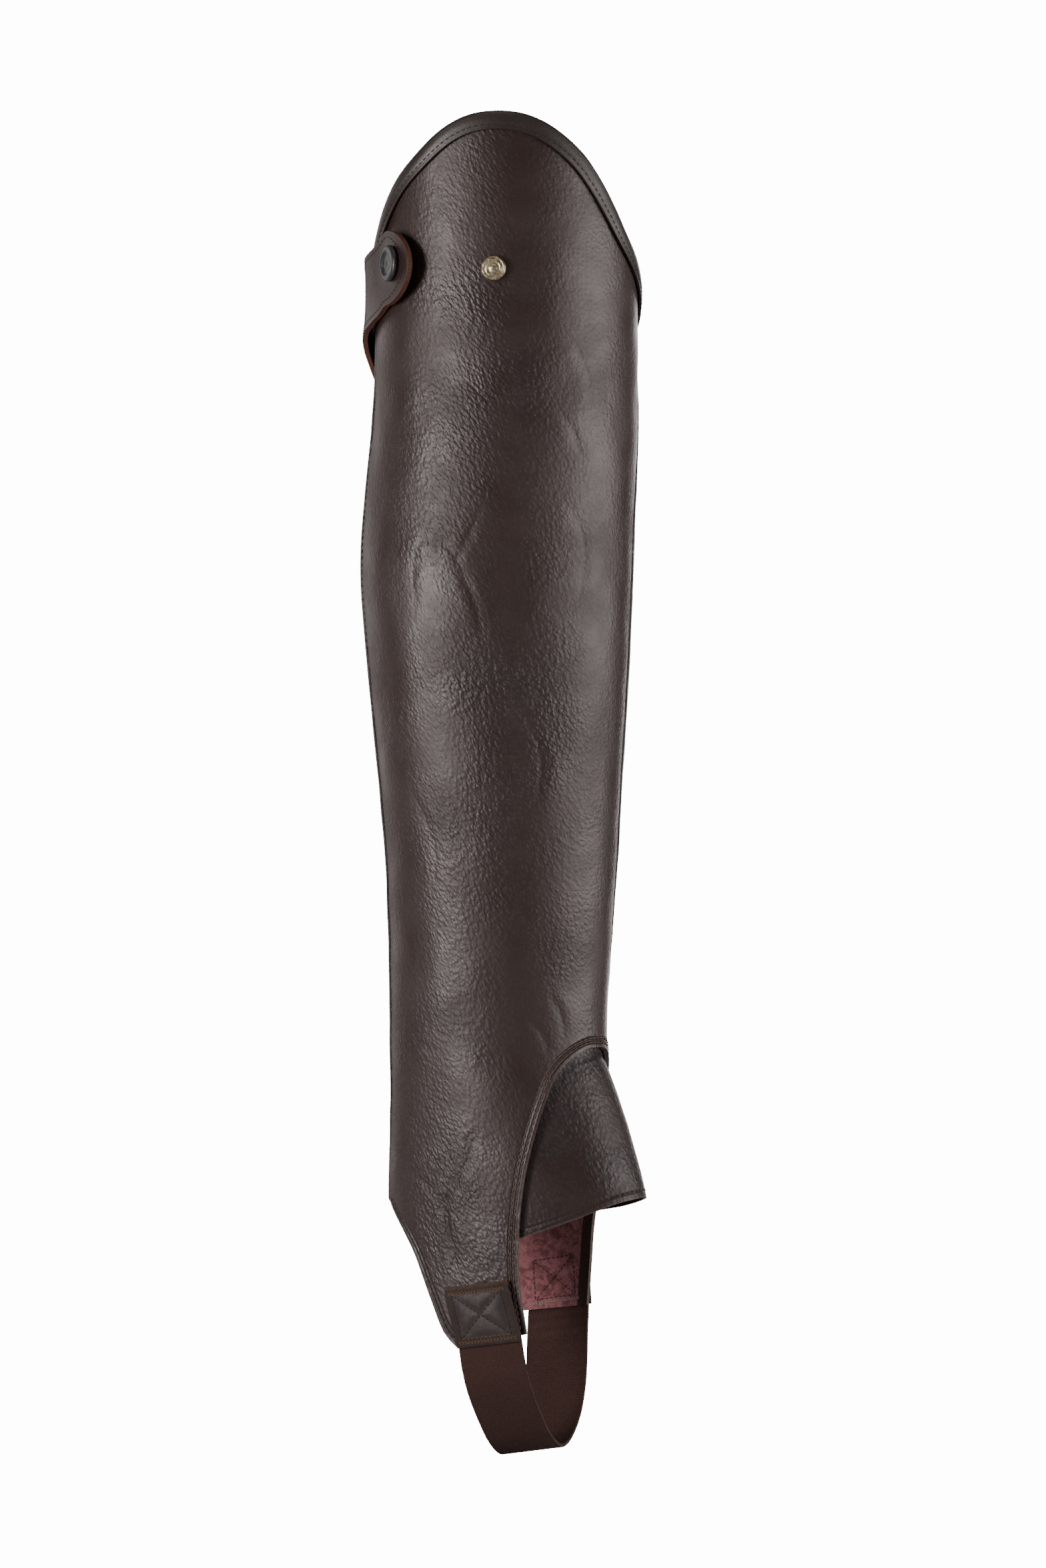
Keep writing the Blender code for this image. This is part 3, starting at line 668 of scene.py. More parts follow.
# Where the grain stands out most: angle, height, how far round and up, and how much
grainZones = {
    "least": 0.38, "most": 1.25,
    "spots": [
        (110, 64, 24, 24, 0.6), (118, -57, 28, 36, 0.85), (82, -268, 24, 32, 0.85), (93, 105, 18, 20, 0.5),
        (80, 14, 16, 26, 0.6), (94, -116, 22, 26, 0.5), (76, -190, 18, 24, 0.3), (150, -150, 20, 26, 0.3),
        (248, -60, 28, 34, 0.8), (262, 70, 24, 26, 0.7), (280, -265, 22, 30, 0.8), (225, -150, 20, 26, 0.4),
        (300, 30, 18, 30, 0.5),
    ],
}
# Kept flat under the stud, the tab, its sewn end and the patches: angle, height and reach
flatSpots = [
    (stud["angle"], stud["height"], 9.0), (62.0, 122.0, 26.0), (0.0, 90.0, 34.0), (360.0, 90.0, 40.0),
    (90.0, -318.0, 24.0), (268.0, -308.0, 24.0),
]
softness = {
    "waveHeight": 0.27, "waveSize": 15.0, "swellShare": 0.85, "trough": 0.60, "softTrough": 0.50,
    "shoulder": 0.35, "lineWidth": 0.85, "stepWidth": 14.0, "edgeFade": 9.0, "topFade": 10.0, "spotFade": 8.0,
}


def spread(angle, height, middle, level, roundReach, upReach):
    # 1 at the middle of a spot, fading out round and up
    return np.exp(-((angle - middle) / roundReach) ** 2 - ((height - level) / upReach) ** 2)


def creaseGaps(angle, height, line, steps=41):
    # each place's distance to a crease's line in millimetres, and how far along the line that is
    points = alongCurve(line, np.linspace(0, 1, steps))
    scale = degreeLength(points[:, 0].mean(), points[:, 1].mean())
    gaps = np.hypot((angle[:, None] - points[None, :, 0]) * scale, height[:, None] - points[None, :, 1])
    return gaps.min(axis=1), gaps.argmin(axis=1) / (steps - 1)


def pastLine(angle, height, line):
    # how many degrees each place lies past a line that runs down the leg
    return angle - smoothRows([row[::-1] for row in line], height)[..., 0]


def leatherRelief(angle, height):
    # how far the leather stands out or in at each place
    soft = softness
    waves = [noise.noise(Vector((a * 0.95, h, 4.0)) / soft["waveSize"]) for a, h in zip(angle, height)]
    total = np.array(waves) * soft["waveHeight"]
    for *spot, out in swells:
        total += soft["swellShare"] * out * spread(angle, height, *spot)
    for depth, width, line in creases:
        gap, share = creaseGaps(angle, height, line)
        taper = np.sin(np.clip(share * 0.84 + 0.08, 0, 1) * pi) ** 0.7
        sharp = soft["trough"] * np.exp(-(gap / soft["lineWidth"]) ** 2)
        trough = sharp + soft["softTrough"] * np.exp(-(gap / width) ** 2)
        shoulder = soft["shoulder"] * np.exp(-((gap - 1.5 * width) / width) ** 2)
        total += depth * taper * (shoulder - trough)
    for depth, step, side, line in seams:
        gap, share = creaseGaps(angle, height, line, 121)
        ends = np.clip(np.minimum(share, 1 - share) * 12, 0, 1)
        rise = np.where(side * pastLine(angle, height, line) > 0, step, 0.0)
        rise = rise * np.exp(-(gap / soft["stepWidth"]) ** 2)
        total += ends * (rise - depth * np.exp(-(gap / soft["lineWidth"]) ** 2))
    return total


def seamOffset(angle, height):
    # how far each place is from the nearest seam, less than 0 on one side of it
    nearest = np.full(len(angle), 1e3)
    for *shape, line in seams:
        gap, share = creaseGaps(angle, height, line, 241)
        nearest = np.where(gap < np.abs(nearest), gap * np.sign(pastLine(angle, height, line)), nearest)
    return nearest


def refine(bm, lines, reach, cuts):
    # smaller faces along the lines
    tree = makeTree(np.concatenate([onLeg(*alongCurve(line, np.linspace(0, 1, 161)).T) for line in lines]))
    near = [e for e in bm.edges if tree.find((e.verts[0].co + e.verts[1].co) / 2 / mm)[2] < reach]
    bmesh.ops.subdivide_edges(bm, edges=near, cuts=cuts, use_grid_fill=True)


def buildPanel():
    bm = startMesh("archDistance", "edgeDistance", "grainShare", "seamOffset", "angle", "height")
    places = [
        (2 * panel["columns"], panel["bodyRows"], lambda u, v: bodyPlace(u, 1 - v)),
        (panel["columns"], panel["wingRows"],
         lambda u, v: wingPlace(u, 1 - v, panel["outerHeel"], panel["outerArch"])),
        (panel["columns"], panel["wingRows"],
         lambda u, v: wingPlace(1 - u, 1 - v, panel["innerHeel"], panel["innerArch"])),
    ]
    for columns, rows, place in places:
        made, u, v = moveGrid(bm, columns, rows, lambda u, v: onLeg(*place(u, v).T))
        angle, height = place(u, v).T
        mark(bm, "angle", made, angle)
        mark(bm, "height", made, height)
    bmesh.ops.remove_doubles(bm, verts=bm.verts, dist=0.00002)
    refine(bm, [crease[-1] for crease in creases], reach=4.8, cuts=2)
    refine(bm, [shadedSeam[-1] for shadedSeam in seams], reach=2.3, cuts=3)
    verts = list(bm.verts)
    angle, height = (np.array([vertex[bm.verts.layers.float[name]] for vertex in verts])
                     for name in ("angle", "height"))
    shares, zipHeights = np.linspace(0, 1, 500), np.linspace(panel["zipFoot"], panel["zipHead"], 600)
    lines = [[onLeg(*alongCurve(panel[name], shares).T) for name in names]
             for names in (("outerArch", "innerArch"), ("outerHeel", "innerHeel"))]
    lines.append([onLeg(across(side, zipHeights), zipHeights) for side in (0.0, 1.0)])
    toArch, toHeel, toZip = (distances(verts, np.concatenate(line)) for line in lines)
    nearest = np.minimum(np.minimum(toArch, toHeel), toZip)
    share = np.full(len(verts), grainZones["least"])
    for *spot, amount in grainZones["spots"]:
        share += amount * spread(angle, height, *spot)
    mark(bm, "archDistance", verts, toArch)
    mark(bm, "edgeDistance", verts, nearest)
    mark(bm, "grainShare", verts, np.minimum(share, grainZones["most"]))
    mark(bm, "seamOffset", verts, seamOffset(angle, height))
    # flat along the sewn edges and under the top strip
    fade = np.clip((topEdge(angle) - softness["topFade"] - height) / softness["topFade"], 0, 1)
    fade *= np.clip(nearest / softness["edgeFade"], 0, 1)
    for middle, level, reach in flatSpots:
        past = np.hypot(angle - middle, height - level) - reach
        fade *= np.clip(past / softness["spotFade"] + 0.5, 0, 1)
    for vertex, spot in zip(verts, offLeg(angle, height, leatherRelief(angle, height) * fade)):
        vertex.co = Vector(spot) * mm
    finishes = [mainLeather, burgundySuede, paleCut]
    return addPiece("legPanelLeather", bm, finishes, "dark_brown_leather", panel["wall"], 0.45, "leg_panel")


legPiece, legArea = buildPanel()
print("leg panel made, flat area", round(legArea * 1e4), "square cm")


def buildBinding():
    # the strip folded over the top edge: outer leg, fold, inner leg
    outer = binding["gap"] + binding["wall"]
    inner = -panel["wall"] - binding["gap"] - binding["wall"]
    middle, half = (outer + inner) / 2, (outer - inner) / 2
    bend, flat = binding["bend"], binding["depth"] - binding["bend"]
    profile = [(bend + flat * (1 - k / 8), outer + crown) for k, crown in enumerate(binding["crowns"])]
    for k in range(1, 10):
        turn = pi * k / 10
        profile.append((bend - bend * sin(turn), middle + half * cos(turn)))
    profile += [(bend + flat * k / 4, inner) for k in range(5)]
    rows = len(profile) - 1

    def place(u, v):
        angle = across(u, topEdge(0))
        depth, out = np.array(profile)[np.rint(v * rows).astype(int)].T
        return offLeg(*belowTop(angle, depth, squareShare(angle)).T, out)

    bm = bmesh.new()
    moveGrid(bm, 180, rows, place)
    finishes = [bindingLeather, darkCut]
    return addPiece("topBindingLeather", bm, finishes, "binding_leather", binding["wall"], 0.3, "top_binding")


bindingPiece, bindingArea = buildBinding()
print("top binding made")

instep = {
    "wall": 1.6, "overlap": 10.0, "reach": 0.74, "ridge": 4.2, "ridgeAngle": 182.0, "ridgeSpread": 58.0,
    "ridgeStart": 3.0, "ridgeRise": 28.0, "standIn": 2.6,
    "hem": [
        (97.5, -286.2), (105, -283.5), (118.5, -279.3), (131.7, -275.3), (147.1, -270.9), (162.3, -268.1),
        (184.6, -267.3), (205, -269.5), (228, -273.5), (246, -276.5), (256.5, -279.0),
    ],
}


def instepTop(t):
    def margin(arch, sign):
        share = np.abs(1 - 2 * t) * instep["reach"]
        here = alongCurve(arch, share)
        run = alongCurve(arch, share + 0.02) - here
        run = run / np.linalg.norm(run, axis=-1, keepdims=True)
        return here + sign * np.stack([run[..., 1], -run[..., 0]], -1) * instep["overlap"]
    return np.where((t <= 0.5)[..., None], margin(panel["outerArch"], 1), margin(panel["innerArch"], -1))


def instepSpot(u, v):
    # (angle, height, stand-off) on the tongue
    hem, top = alongCurve(instep["hem"], u), instepTop(u)
    spot = lerp(hem, top, v)
    free = np.linalg.norm(top - hem, axis=-1) * (1 - v) - instep["overlap"] - instep["ridgeStart"]
    turn = np.minimum(np.abs(spot[..., 0] - instep["ridgeAngle"]) / instep["ridgeSpread"], 1)
    rise = np.sqrt(np.clip(free / instep["ridgeRise"], 0, 1))
    ridge = instep["ridge"] * np.cos(turn * pi / 2) ** 2 * rise
    return spot[..., 0], spot[..., 1], ridge - instep["standIn"]


def buildTongue():
    bm = startMesh("archDistance", "edgeDistance")
    made, u, v = moveGrid(bm, 72, 40, lambda u, v: offLeg(*instepSpot(u, v)))
    shares = np.linspace(0, 1, 500)
    mark(bm, "edgeDistance", made, distances(made, offLeg(*instepSpot(shares, 0 * shares))))
    mark(bm, "archDistance", made, [20.0] * len(made))
    finishes = [tongueLeather, darkSuede, paleCut]
    return addPiece("instepTongueLeather", bm, finishes, "dark_brown_leather", instep["wall"], 0.35,
                    "instep_panel")


tonguePiece, tongueArea = buildTongue()
print("instep tongue made")

# The closing tab: distance round from the back, lower edge, upper edge, three stand-offs
tab = {
    "wall": 2.4, "start": -28.0, "endCentre": (54.0, 124.0), "endRadii": (17.6, 15.6), "straight": 0.72,
    "stitchInset": 0.078, "stitchEnd": 0.243, "crossRows": (0.03, 0.17),
    "rows": [
        (-28, 58, 88, 0.4, 0.4, 0.4),
        (-16, 66.5, 97, 0.4, 0.4, 0.4),
        (-8, 72.5, 104, 1.0, 1.2, 1.4),
        (0, 79, 113, 2.6, 2.2, 2.2),
        (9.5, 88, 122, 3.0, 2.0, 2.1),
        (19, 94, 127.5, 3.0, 2.1, 2.2),
        (28.5, 98.8, 130.8, 2.8, 1.8, 2.5),
        (37, 102, 132.4, 1.4, 1.4, 2.1),
        (46, 105, 135.2, 0.8, 1.0, 1.5),
        (54, 108.4, 139.6, 1.7, 1.7, 1.9),
        (64, 108.4, 139.6, 4.1, 4.1, 4.1),
        (74, 108.4, 139.6, 7.6, 7.6, 7.6),
    ],
}


def tabSpot(u, v):
    # (distance round, height, stand-off) on the tab: u from the sewn end to the round end
    endX, endZ = tab["endCentre"]
    long, tall = tab["endRadii"]
    distance = tab["start"] + (endX - tab["start"]) * u / tab["straight"]
    low, high = np.moveaxis(smoothRows(tab["rows"], distance)[..., :2], -1, 0)
    height = low + (high - low) * v
    a, b = (u - tab["straight"]) / (1 - tab["straight"]), 2 * v - 1
    atEnd = u > tab["straight"]
    distance = np.where(atEnd, endX + long * a * np.sqrt(np.maximum(1 - b * b / 2, 0)), distance)
    height = np.where(atEnd, endZ + tall * b * np.sqrt(np.maximum(1 - a * a / 2, 0)), height)
    low, high = np.where(atEnd, endZ - tall, low), np.where(atEnd, endZ + tall, high)
    w = (height - low) / (high - low)
    lower, middle, upper = np.moveaxis(smoothRows(tab["rows"], distance)[..., 2:], -1, 0)
    out = lower * (1 - w) * (1 - 2 * w) + middle * 4 * w * (1 - w) + upper * w * (2 * w - 1)
    return distance, height, out


def onTab(u, v, lift=0.0):
    distance, height, out = tabSpot(u, v)
    return offLeg(angleAt(distance, height), height, out + tab["wall"] + lift)


def buildTab():
    bm = startMesh("edgeDistance")
    made, u, v = moveGrid(bm, 60, 20, onTab)
    shares = np.linspace(0, 1, 400)
    sides = [onTab(shares, 0 * shares), onTab(shares, 0 * shares + 1), onTab(0 * shares + 1, shares)]
    mark(bm, "edgeDistance", made, distances(made, np.concatenate(sides)))
    finishes = [tabLeather, redCut]
    return addPiece("closingTabLeather", bm, finishes, "dark_brown_leather", tab["wall"], 0.5, "closing_tab")


tabPiece, tabArea = buildTab()
print("closing tab made")

# The strap: its outer face from the outer flap down and up to the inner one (middle x, y, height)
strap = {
    "wall": 1.5, "width": 29.0, "tilt": 5.0, "endRows": 8, "loopRows": 72, "gap": 0.3, "tuck": 0.82,
    "loop": [
        (14.0, -35.2, -335.0), (14.7, -32.4, -343.4), (14.9, -26.6, -352.2), (14.8, -18.8, -361.0),
        (14.2, -9.6, -369.3), (13.4, 0.5, -375.5), (12.9, 9.5, -378.1), (12.6, 19.0, -375.0),
        (12.6, 27.6, -366.6), (12.6, 32.7, -355.5), (12.6, 34.9, -344.0), (12.8, 35.6, -331.0),
    ],
}
patch = {
    "wall": 1.2, "width": 30.0, "centre": 13.4, "lean": 0.265, "top": -302.5, "bottom": -328.0, "tilt": 4.6,
    "innerLift": 8.6, "puff": 0.42, "sewnBorder": 3.6, "borderBend": 2.0, "crossBend": 1.7, "edgeRound": 0.12,
    "onLegFrom": 0.86, "legGap": 0.5,
}
patchTall = patch["top"] - patch["bottom"]


def besideLeg(x, height, out, side):
    # a point beside a flap: side is -1 on the outer side and 1 on the inner side
    back, front, half, egg = np.moveaxis(smoothRows(legForm, height), -1, 0)
    c = ((back + front) / 2 - x) / ((front - back) / 2)
    depth = half * np.sqrt(np.maximum(1 - c * c, 0)) * (1 + egg * c)
    return np.stack(np.broadcast_arrays(x, side * (depth + out), height), -1)


def patchSpot(u, v, side, width):
    height = patch["bottom"] + patchTall * v
    lean = patch["lean"] if side < 0 else patch["lean"] / 3
    middle = patch["centre"] - lean * (height - patch["bottom"])
    lift = patch["innerLift"] if side > 0 else 0.0
    return middle + (u - 0.5) * width, height + patch["tilt"] * (u - 0.5) + lift


def patchBorder(u, v):
    # how far each place is from the patch's nearest edge
    return np.minimum(np.minimum(u, 1 - u) * patch["width"], np.minimum(v, 1 - v) * patchTall)


def patchPlace(u, v, side, lift=0.0):
    # on a patch's outer face, which is soft between its sewn border and the cross
    x, height = patchSpot(u, v, side, patch["width"])
    lowTop = np.maximum(0, (v - patch["onLegFrom"]) / (1 - patch["onLegFrom"]))
    out = (strap["wall"] + 2 * strap["gap"]) * (1 - lowTop) + patch["legGap"] * lowTop
    border = patchBorder(u, v)
    within = np.maximum(border - patch["sewnBorder"], 0) / patch["borderBend"]
    cross = np.minimum(np.abs(u - v), np.abs(u + v - 1)) * 19 / patch["crossBend"]
    puff = patch["puff"] * (1 - np.exp(-within ** 2)) * (1 - np.exp(-cross ** 2))
    puff += patch["edgeRound"] * np.clip(border / 1.2, 0, 1)
    return besideLeg(x, height, out + patch["wall"] + puff + lift, side)


def buildPatch(name, side, node):
    bm = startMesh("edgeDistance", "topDistance")
    made, u, v = moveGrid(bm, 60, 54, lambda u, v: patchPlace(u if side < 0 else 1 - u, v, side))
    mark(bm, "edgeDistance", made, patchBorder(u, v))
    mark(bm, "topDistance", made, (1 - v) * patchTall)
    return addPiece(name, bm, [patchLeather, darkCut], "patch_leather", patch["wall"], 0.3, node)


outerPatch, outerPatchArea = buildPatch("outerStrapPatchLeather", -1, "outer_strap_patch")
innerPatch, innerPatchArea = buildPatch("innerStrapPatchLeather", 1, "inner_strap_patch")


def strapPlace(u, v):
    # u is 0 at the front edge; rows are counted so that the ends follow the patches
    rows, ends = strap["loopRows"] + 2 * strap["endRows"], strap["endRows"]
    row = v * rows
    t = np.clip((row - ends) / strap["loopRows"], 0, 1)
    middle, y, height = np.moveaxis(alongCurve(strap["loop"], t), -1, 0)
    shift = 0.5 - u
    x = middle + shift * strap["width"]
    side = np.where(t < 0.5, -1.0, 1.0)
    hollow = besideLeg(x, height, 0.0, side)[..., 1] - besideLeg(middle, height, 0.0, side)[..., 1]
    spots = np.stack([x, y + hollow * np.abs(2 * t - 1) ** 3, height + strap["tilt"] * shift], -1)
    for side, share in ((-1, row / ends), (1, (rows - row) / ends)):
        x, height = patchSpot(1 - u, (1 - np.clip(share, 0, 1)) * strap["tuck"] + 0.02, side, strap["width"])
        end = besideLeg(x, height, strap["gap"] + strap["wall"], side)
        spots = np.where((share < 1)[..., None], end, spots)
    return spots


def buildStrap():
    bm = startMesh("lengthwise", "crosswise")
    rows = strap["loopRows"] + 2 * strap["endRows"]
    made, u, v = moveGrid(bm, 14, rows, strapPlace)
    steps = np.linspace(0, 1, rows + 1)
    middle = strapPlace(0 * steps + 0.5, steps)
    lengths = np.concatenate([[0], np.cumsum(np.linalg.norm(np.diff(middle, axis=0), axis=1))])
    mark(bm, "lengthwise", made, np.interp(v, steps, lengths))
    mark(bm, "crosswise", made, u * strap["width"])
    print("strap length", round(float(lengths[-1]), 1))
    finishes = [brownElastic]
    return addPiece("soleStrapElastic", bm, finishes, "brown_elastic", strap["wall"], 0.35, "sole_strap")


strapPiece, strapArea = buildStrap()
print("strap and patches made")


def makeShape(name, make, **sizes):
    # a small mesh of its own, to be placed many times
    bm = bmesh.new()
    make(bm, **sizes)
    mesh = bpy.data.meshes.new(name)
    bm.to_mesh(mesh)
    bm.free()
    return mesh


def placeShape(bm, shape, matrix):
    copy = shape.copy()
    copy.transform(matrix)
    bm.from_mesh(copy)
    bpy.data.meshes.remove(copy)


stitchShape = makeShape("stitchShape", bmesh.ops.create_uvsphere, u_segments=6, v_segments=5, radius=0.5)
toothShape = makeShape("toothShape", bmesh.ops.create_uvsphere, u_segments=8, v_segments=4, radius=0.55)


def sew(bm, points, normals, pitch, size):
    # stitches of size (width, height, length) set end to end along the points
    steps = np.linalg.norm(np.diff(points, axis=0), axis=1)
    lengths = np.concatenate([[0], np.cumsum(steps)])
    count = max(int(round(lengths[-1] / pitch)), 1)
    for k in range(count):
        middle = (k + 0.5) * lengths[-1] / count
        start, end = (np.array([np.interp(middle + half, lengths, c) for c in points.T])
                      for half in (-size[2] / 2, size[2] / 2))
        normal = Vector([np.interp(middle, lengths, c) for c in normals.T]).normalized()
        run = Vector(end - start).normalized()
        side = normal.cross(run).normalized()
        turn = Matrix((side, run.cross(side), run)).transposed().to_4x4()
        spot = Matrix.Translation(Vector((start + end) / 2) * mm)
        scale = Matrix.Diagonal((size[0] * mm, size[1] * mm, size[2] * 1.06 * mm, 1))
        placeShape(bm, stitchShape, spot @ turn @ scale)


def legRow(line, out):
    return offLeg(line[:, 0], line[:, 1], out), legNormal(line[:, 0], line[:, 1])


def inset(line, distance):
    # the same line moved to its left by a distance, over the leg's surface
    scale = degreeLength(line[:, 0], line[:, 1])
    run = np.gradient(line, axis=0) * np.stack([scale, 1 + 0 * scale], -1)
    run = run / np.linalg.norm(run, axis=-1, keepdims=True)
    return line + np.stack([-run[:, 1] / scale, run[:, 0]], -1) * distance


def pieceNormals(place, u, v):
    # the outward normals of a surface given by place(u, v)
    step = 0.004
    du = place(np.minimum(u + step, 1), v) - place(np.maximum(u - step, 0), v)
    dv = place(u, np.minimum(v + step, 1)) - place(u, np.maximum(v - step, 0))
    normal = np.cross(du, dv)
    return normal / np.maximum(np.linalg.norm(normal, axis=-1, keepdims=True), 1e-9)


# Stitches: pitch, and (width, height, length)
stitch = {
    "main": (2.9, (0.72, 0.55, 2.15)),
    "fine": (2.7, (0.68, 0.50, 1.95)),
    "patch": (2.2, (0.55, 0.42, 1.70)),
    "tab": (2.4, (0.46, 0.32, 1.6)),
}


def sewPiece(name, thread, slotName, rows):
    # rows: (points, normals, kind of stitch)
    bm = bmesh.new()
    for points, normals, kind in rows:
        sew(bm, points, normals, *stitch[kind])
    addPiece(name, bm, [thread], slotName)


def sewPanel():
    steps = np.linspace(0, 1, 700)
    outerArch, innerArch, outerHeel, innerHeel = (
        alongCurve(panel[name], steps) for name in ("outerArch", "innerArch", "outerHeel", "innerHeel"))
    archLine = np.concatenate([outerArch[::-1], innerArch[1:]])
    rows = [(*legRow(inset(archLine, distance)[8:-8], 0.08), "main") for distance in archRows]
    sewPiece("archStitching", brownThread, "dark_brown_leather", rows)
    edgeInset, facingInset, lift = 2.5, 9.5, 0.06
    rows = [(*legRow(inset(line, edgeInset), lift), "main") for line in (outerHeel, innerHeel[::-1])]
    heights = np.linspace(panel["zipFoot"] + 2, 112, 500)
    for side, sign in ((0.0, 1), (1.0, -1)):
        for distance in (edgeInset, facingInset):
            line = pair(across(side, heights), heights)
            line[:, 0] += sign * distance / degreeLength(*line.T)
            rows.append((*legRow(line, lift), "main"))
    angles = np.linspace(8, 352, 900)
    line = belowTop(angles, binding["stitchDepth"], squareShare(angles))
    rows.append((*legRow(line, binding["gap"] + binding["wall"] + binding["stitchLift"]), "fine"))
    along = np.linspace(0.04, 0.96, 500)
    hem = instepSpot(along, 0 * along + 0.042)
    normals = legNormal(hem[0], hem[1])
    rows.append((offLeg(*hem) + normals * 0.05, normals, "fine"))
    sewPiece("darkStitching", darkThread, "dark_brown_leather", rows)


sewPanel()


def sewTab():
    end, edge = tab["straight"], tab["stitchInset"]
    straight, a = np.linspace(0.02, end, 260), np.linspace(0, 1, 120)
    # along the lower edge, round the end and back along the upper edge, then across the sewn end twice
    u = np.concatenate([straight, end + tab["stitchEnd"] * np.sin(a * pi), straight[::-1]])
    v = np.concatenate([0 * straight + edge, 0.5 - (0.5 - edge) * np.cos(a * pi), 0 * straight + 1 - edge])
    rise = np.linspace(edge, 1 - edge, 80)
    rows = []
    for u, v in [(u, v)] + [(0 * rise + share, rise) for share in tab["crossRows"]]:
        rows.append((onTab(u, v, 0.06), pieceNormals(onTab, u, v), "tab"))
    sewPiece("tabStitching", darkThread, "dark_brown_leather", rows)


sewTab()


def zigzag(low, high, count):
    # a row of points that goes up and down between two insets, in millimetres
    k = np.arange(count + 1)
    return np.linspace(0.05, 0.95, count + 1), np.where(k % 2 == 0, low, high) / patchTall


def boxAndCross(ring):
    # the four sides of a sewn box at an inset in millimetres, and the cross inside it, as rows (u, v)
    a, b, s = ring / patch["width"], ring / patchTall, np.linspace(0, 1, 60)
    sides = [
        (a + (1 - 2 * a) * s, b + 0 * s),
        (1 - a + 0 * s, b + (1 - 2 * b) * s),
        (1 - a - (1 - 2 * a) * s, 1 - b + 0 * s),
        (a + 0 * s, 1 - b - (1 - 2 * b) * s),
    ]
    a, b = a + 0.02, b + 0.02
    cross = [(a + (1 - 2 * a) * s, b + (1 - 2 * b) * s), (a + (1 - 2 * a) * s, 1 - b - (1 - 2 * b) * s)]
    return sides, cross


def outerSide(u, v, side):
    return patchPlace(u, v, side, 0.05)


def innerSide(u, v, side):
    # on the suede behind a patch
    x, height = patchSpot(u, 0.06 + 0.92 * v, side, patch["width"] - 5)
    return besideLeg(x, height, -panel["wall"] - 0.02, side)


def sewPatches():
    sides, cross = boxAndCross(patch["sewnBorder"])
    weave = []
    for low, high in ((1.0, 2.9), (2.9, 1.0)):
        u, v = zigzag(low, high, 15)
        weave += [(u, v), (u, 1 - v - 1.2 / patchTall)]
    for name, thread, slotName, place, facing, lines in (
            ("patchStitching", tanThread, "patch_leather", outerSide, -1, sides[::2] + weave),
            ("patchCrossStitching", darkThread, "patch_leather", outerSide, -1, sides[1::2] + cross),
            ("flapInnerStitching", wineThread, "dark_brown_leather", innerSide, 1, sides + cross),
            ("flapInnerPaleStitching", paleThread, "dark_brown_leather", innerSide, 1, weave[::2])):
        rows = []
        for side in (-1, 1):
            for u, v in lines:
                normals = pieceNormals(lambda u, v: place(u, v, side), u, v) * side * facing
                rows.append((place(u, v, side), normals, "patch"))
        sewPiece(name, thread, slotName, rows)


sewPatches()
print("stitching made")


def spun(profile):
    # a turned piece from its profile (radius, height), closed at the foot
    bm = bmesh.new()
    line = [bm.verts.new((r * mm, 0, h * mm)) for r, h in profile]
    edges = [bm.edges.new(ends) for ends in zip(line, line[1:])]
    bmesh.ops.spin(bm, geom=line + edges, cent=(0, 0, 0), axis=(0, 0, 1), angle=2 * pi, steps=64,
                   use_merge=True)
    bmesh.ops.remove_doubles(bm, verts=bm.verts, dist=0.00001)
    foot = [edge for edge in bm.edges if edge.is_boundary]
    bmesh.ops.holes_fill(bm, edges=foot, sides=0)
    bmesh.ops.recalc_face_normals(bm, faces=bm.faces)
    return bm


def seat(bm, foot, normal):
    # turns a spun piece to face along a normal, at its foot
    turn = Vector(normal).to_track_quat("Z", "X").to_matrix().to_4x4()
    bmesh.ops.transform(bm, matrix=Matrix.Translation(Vector(foot) * mm) @ turn, verts=bm.verts)


def buildStud():
    bm = spun(stud["profile"])
    ring, level = stud["beadRing"]
    for k in range(stud["beads"]):
        turn = 2 * pi * k / stud["beads"]
        spot = Matrix.Translation(Vector((ring * cos(turn), ring * sin(turn), level)) * mm)
        bmesh.ops.create_icosphere(bm, subdivisions=1, radius=stud["beadRadius"] * mm, matrix=spot)
    angle, height = np.array(stud["angle"]), np.array(stud["height"])
    seat(bm, offLeg(angle, height, stud["gap"]), legNormal(angle, height))
    addPiece("frontStudBrass", bm, [agedBrass], "aged_brass", node="front_stud")


def buildSnap():
    distance, height = np.array(snap["distance"]), np.array(snap["height"])
    angle = angleAt(distance, height)
    before, under, after = (offLeg(angle + s, height, smoothRows(tab["rows"], distance + s)[..., 3])
                            for s in (-1, 0, 1))
    normal = Vector(after - before).normalized().cross(Vector((0, 0, 1))).normalized()
    bm = spun(snap["profile"])
    seat(bm, under + np.array(normal) * (tab["wall"] + snap["gap"]), normal)
    addPiece("snapCapBlack", bm, [snapBlack], "black_snap", node="snap_cap")


buildStud()
buildSnap()
print("stud and snap made")

zipParts = {
    "tapeWidth": 32.0, "tapeWall": 1.0, "chainWall": 1.5, "inside": -2.6, "gap": 0.3,
    "bottom": -265.0, "top": 112.0, "tapeMargin": 0.8, "chainMargin": 3.5,
    "toothPitch": 2.1, "toothSize": (1.35, 3.1, 1.15), "toothShift": 0.95,
}


def zipHigh(distance, margin):
    angle = angleAt(distance, 0 * distance + zipParts["top"])
    return belowTop(angle % 360, binding["depth"], 0.0)[..., 1] - margin


